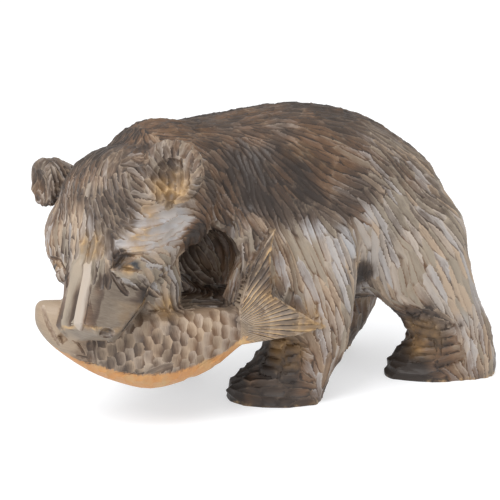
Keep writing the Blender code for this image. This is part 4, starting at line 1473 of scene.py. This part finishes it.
def carved_wood(finish):
    """Stained wood: rubbed pale on the planes, bare on the fish, with painted shade in the hollows, in the
    creases and on each gouge's lower seam, a painted highlight on its upper seam and a painted sheen on some
    gouges.
    """
    material = bpy.data.materials.new("stained_wood")
    n = Nodes(material)
    where = n.add("ShaderNodeTexCoord").outputs["Object"]
    strokes = n.add("ShaderNodeUVMap")
    strokes.uv_map = "Gouge"
    along = n.add("ShaderNodeMapping", Vector=strokes.outputs["UV"], Scale=HAIR_SCALE)
    hairs = n.noise(along.outputs["Vector"], 1.0, 2.0, 0.6)
    cloud = n.noise(where, 22.0, 3.0, 0.6)
    mottle = n.noise(where, 90.0, 4.0, 0.6)
    fleck = n.noise(where, 420.0, 2.0, 0.5)
    pale, tone, fish, seam_highlight, painted_sheen, spot = (
        n.attribute(name) for name in ("Pale", "Tone", "Fish", "PaintedHighlight", "PaintedSheen", "Warm")
    )

    # How pale the colour is, from 0, dark, to 1, pale: the stain's wear, less the painted shade in the
    # creases and along each gouge's lower seam, plus the painted highlight along its upper seam and a little
    # painted sheen
    apart = n.minus(0.30, n.times(fish, 0.16))
    level = n.plus(pale, n.times(n.minus(tone, 0.5), apart))
    for share, part in ((0.45, cloud), (0.30, mottle), (0.36, hairs)):
        level = n.plus(level, n.times(n.minus(part, 0.5), share))
    # Painted shadow on each gouge's lower seam, weaker on the fish
    seam_shadow = n.times(n.attribute("PaintedShadow"), n.minus(1.0, n.times(fish, 0.5)))
    for share, part in ((0.35, n.attribute("CreaseShade")), (0.50, seam_shadow)):
        level = n.minus(level, n.times(part, share))
    for share, part in ((0.35, n.times(seam_highlight, pale)), (0.08, painted_sheen)):
        level = n.plus(level, n.times(part, share))

    # The fan's rays: a dark line and a rubbed crest on each
    saw = n.math("FRACT", n.plus(n.attribute("Ray"), n.times(mottle, 0.2)))
    on_ray = n.ramp(n.attribute("Fan"), 0.7, 0.98)
    line = n.times(n.minus(1.0, n.ramp(saw, 0.08, 0.32)), on_ray)
    crest = n.times(n.ramp(saw, 0.62, 0.92), on_ray)
    level = n.minus(level, n.times(line, 0.75))

    # Each gouge's own tint of the worn stain, with a painted sheen on some gouges in place of a reflection
    tint = n.fraction(tone, 7.31)
    worn = n.mix(n.times(n.ramp(tint, 0.66, 0.72), 0.7), finish.pale[:], finish.tan[:])
    worn = n.mix(n.times(n.ramp(tint, 0.24, 0.18), 0.6), worn, finish.olive[:])
    sheen = n.times(n.ramp(tint, 0.26, 0.30), n.ramp(tint, 0.50, 0.46))
    some = n.times(painted_sheen, n.ramp(n.fraction(tone, 3.7), 0.15, 0.5))
    sheen = n.most(n.times(sheen, 0.6), some)
    sheen = n.times(sheen, n.minus(1.0, n.times(fish, 0.6)))
    sheen = n.times(sheen, n.minus(0.85, n.times(n.attribute("Plane"), 0.7)))
    worn = n.mix(sheen, worn, finish.painted_sheen[:])
    worn = n.mix(n.times(fish, 0.5), worn, finish.tan[:])

    # The stain by its wear, with russet and ochre patches
    russet = n.times(n.ramp(cloud, 0.44, 0.60), 0.65)
    stain = n.mix(russet, finish.brown[:], finish.russet[:])
    colour = n.mix(n.ramp(level, -0.05, 0.50), finish.dark[:], stain)
    colour = n.mix(n.ramp(level, 0.32, 1.02), colour, worn)
    warm = n.times(n.ramp(cloud, 0.55, 0.75), n.ramp(mottle, 0.42, 0.62))
    warm = n.plus(n.times(warm, 0.30), n.times(spot, n.ramp(mottle, 0.25, 0.65)))
    colour = n.mix(n.times(warm, 0.75, clamp=True), colour, finish.ochre[:])

    # Rubbed arrises, with the painted highlight along each gouge's upper seam
    arris = n.most(n.attribute("Edge"), n.most(n.times(seam_highlight, 0.8), crest))
    rubbed = n.times(arris, n.ramp(n.plus(mottle, n.times(pale, 0.2)), 0.50, 0.78))
    gold = n.most(n.most(spot, n.attribute("Gold")), crest)
    rim = n.mix(gold, n.mix(0.35, finish.pale[:], finish.edge[:]), finish.edge[:])
    colour = n.mix(n.times(rubbed, n.plus(n.times(gold, 0.60), 0.30)), colour, rim)

    # The fish's bare belly, the painted shade of the hollows, and the eyes
    bare = n.attribute("Bare")
    for part in (hairs, mottle):
        bare = n.plus(bare, n.times(n.minus(part, 0.5), 0.5))
    belly = n.mix(n.ramp(mottle, 0.35, 0.75), finish.bare[:], finish.edge[:])
    colour = n.mix(n.ramp(bare, 0.40, 0.58), colour, belly)
    # Painted shade: where the carving hides the sky, the colour goes towards the dark stain's
    shade = n.ramp(n.attribute("HollowShade"), 0.40, 0.95)
    colour = n.mix(n.times(shade, 0.35), colour, finish.dark[:])
    colour = n.mix(n.attribute("Eye"), colour, finish.eye[:])

    rough = n.plus(n.times(mottle, 0.25), finish.roughness - 0.12)
    rough = n.plus(rough, n.times(shade, 0.25), clamp=True)
    grain = n.plus(n.times(hairs, 0.7), n.times(fleck, 0.3))
    bump = n.add("ShaderNodeBump", Height=grain, Strength=GRAIN_STRENGTH, Distance=GRAIN_DEPTH)
    shader = n.add("ShaderNodeBsdfPrincipled", Roughness=rough, Normal=bump.outputs["Normal"])
    n.feed(shader, **{"Base Color": colour, "Specular IOR Level": 0.35})
    n.add("ShaderNodeOutputMaterial", Surface=shader.outputs["BSDF"])
    return material


def plain_floor(studio):
    """A matt, pale studio floor that glows, lighting the bear from below and softening its shadows."""
    material = bpy.data.materials.new("studio_floor")
    n = Nodes(material)
    shader = n.add("ShaderNodeBsdfPrincipled", Roughness=0.6)
    n.feed(shader, **{
        "Base Color": studio.floor[:], "Emission Color": FLOOR_GLOW, "Emission Strength": studio.glow,
    })
    n.add("ShaderNodeOutputMaterial", Surface=shader.outputs["BSDF"])
    return material


# The operators
class CARVEDBEAR_OT_carving(bpy.types.Operator):
    """Carve the bear and its salmon from one block and stain it"""

    bl_idname = "carved_bear.carving"
    bl_label = "Carve Bear"
    bl_options = {"REGISTER", "UNDO"}

    def execute(self, context):
        scene = context.scene
        shape, fur, fish = scene.bear_shape, scene.bear_fur, scene.bear_fish
        head = Head(shape)
        bear = rough_form(shape, head)
        points, normals = surface(bear.data)
        cuts = fur_cuts(points, normals, head, fur)
        for more in (
            face_cuts(head), roll_cuts(points, normals), scale_cuts(fish), line_cuts(), fan_cuts(fish),
        ):
            cuts.rows += more.rows
        carve(bear.data, cuts)
        flat_soles(bear)
        settled(
            bear, "DECIMATE", ratio=shape.faces / len(bear.data.polygons), use_collapse_triangulate=True
        )
        dress(bear.data, head, cuts)
        to_metres(bear, shape)
        only(bear)
        bpy.ops.object.shade_flat()
        bear.data.materials.clear()
        bear.data.materials.append(carved_wood(scene.bear_finish))
        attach(bear, "root")
        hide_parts("carved_bear")
        return {"FINISHED"}


def aim(obj, way):
    """Turns a light or a camera to look along way."""
    obj.rotation_euler = way.to_track_quat("-Z", "Y").to_euler()


class CARVEDBEAR_OT_stage(bpy.types.Operator):
    """Add the pale floor, the soft lights and the camera"""

    bl_idname = "carved_bear.stage"
    bl_label = "Set Stage"
    bl_options = {"REGISTER", "UNDO"}

    def execute(self, context):
        studio = context.scene.bear_studio
        deselect()
        bpy.ops.mesh.primitive_grid_add(
            x_subdivisions=8, y_subdivisions=8, size=FLOOR_SIZE, location=(0, 0, 0)
        )
        floor = context.object
        floor.name = "studio_floor"
        floor.data.materials.append(plain_floor(studio))

        world = bpy.data.worlds.new("surround")
        context.scene.world = world
        world.use_nodes = True
        background = world.node_tree.nodes["Background"]
        background.inputs["Color"].default_value = (1.0, 1.0, 1.0, 1.0)
        background.inputs["Strength"].default_value = studio.sky

        target = in_frame(context.scene.bear_shape, TARGET)
        bpy.ops.object.light_add(type="SUN", location=SUN_PLACE)
        sun = context.object
        sun.name = "top_light"
        sun.data.energy = studio.sun
        sun.data.angle = SUN_SPREAD
        aim(sun, Vector(SUN_WAY))
        bpy.ops.object.light_add(type="AREA", location=KEY_PLACE)
        light = context.object
        light.name = "key_light"
        light.data.shape = "SQUARE"
        light.data.size = KEY_SIZE
        light.data.energy = studio.key
        aim(light, target - Vector(KEY_PLACE))

        back = Vector((
            math.sin(studio.azimuth) * math.cos(studio.elevation),
            -math.cos(studio.azimuth) * math.cos(studio.elevation),
            math.sin(studio.elevation),
        ))
        bpy.ops.object.camera_add(location=target + back * studio.distance)
        camera = context.object
        camera.name = "camera"
        aim(camera, -back)
        camera.data.sensor_width = 36.0
        camera.data.sensor_fit = "HORIZONTAL"
        camera.data.lens = studio.lens
        context.scene.camera = camera
        context.scene.view_settings.view_transform = "Standard"
        return {"FINISHED"}


class CARVEDBEAR_PT_panel(bpy.types.Panel):
    """Lists the carving's and the stage's operators and sizes"""

    bl_idname = "CARVEDBEAR_PT_panel"
    bl_label = "Carved Bear"
    bl_space_type = "VIEW_3D"
    bl_region_type = "UI"
    bl_category = "Carved Bear"

    def draw(self, context):
        scene = context.scene
        layout = self.layout
        for group in (scene.bear_shape, scene.bear_fur, scene.bear_fish, scene.bear_finish):
            box = layout.box()
            box.label(text=group.bl_rna.name)
            for key in group.__annotations__:
                box.prop(group, key)
        layout.operator(CARVEDBEAR_OT_carving.bl_idname)
        box = layout.box()
        for key in scene.bear_studio.__annotations__:
            box.prop(scene.bear_studio, key)
        layout.operator(CARVEDBEAR_OT_stage.bl_idname)


CLASSES = (
    BearShape, FurCut, FishCut, WoodFinish, StudioSetup,
    CARVEDBEAR_OT_carving, CARVEDBEAR_OT_stage, CARVEDBEAR_PT_panel,
)
GROUPS = {
    "bear_shape": BearShape, "bear_fur": FurCut, "bear_fish": FishCut,
    "bear_finish": WoodFinish, "bear_studio": StudioSetup,
}


def register():
    for cls in CLASSES:
        bpy.utils.register_class(cls)
    for name, group in GROUPS.items():
        setattr(bpy.types.Scene, name, bpy.props.PointerProperty(type=group))


def unregister():
    for name in GROUPS:
        delattr(bpy.types.Scene, name)
    for cls in reversed(CLASSES):
        bpy.utils.unregister_class(cls)


def main():
    register()
    bpy.ops.carved_bear.carving()
    bpy.ops.carved_bear.stage()


if __name__ == "__main__":
    main()
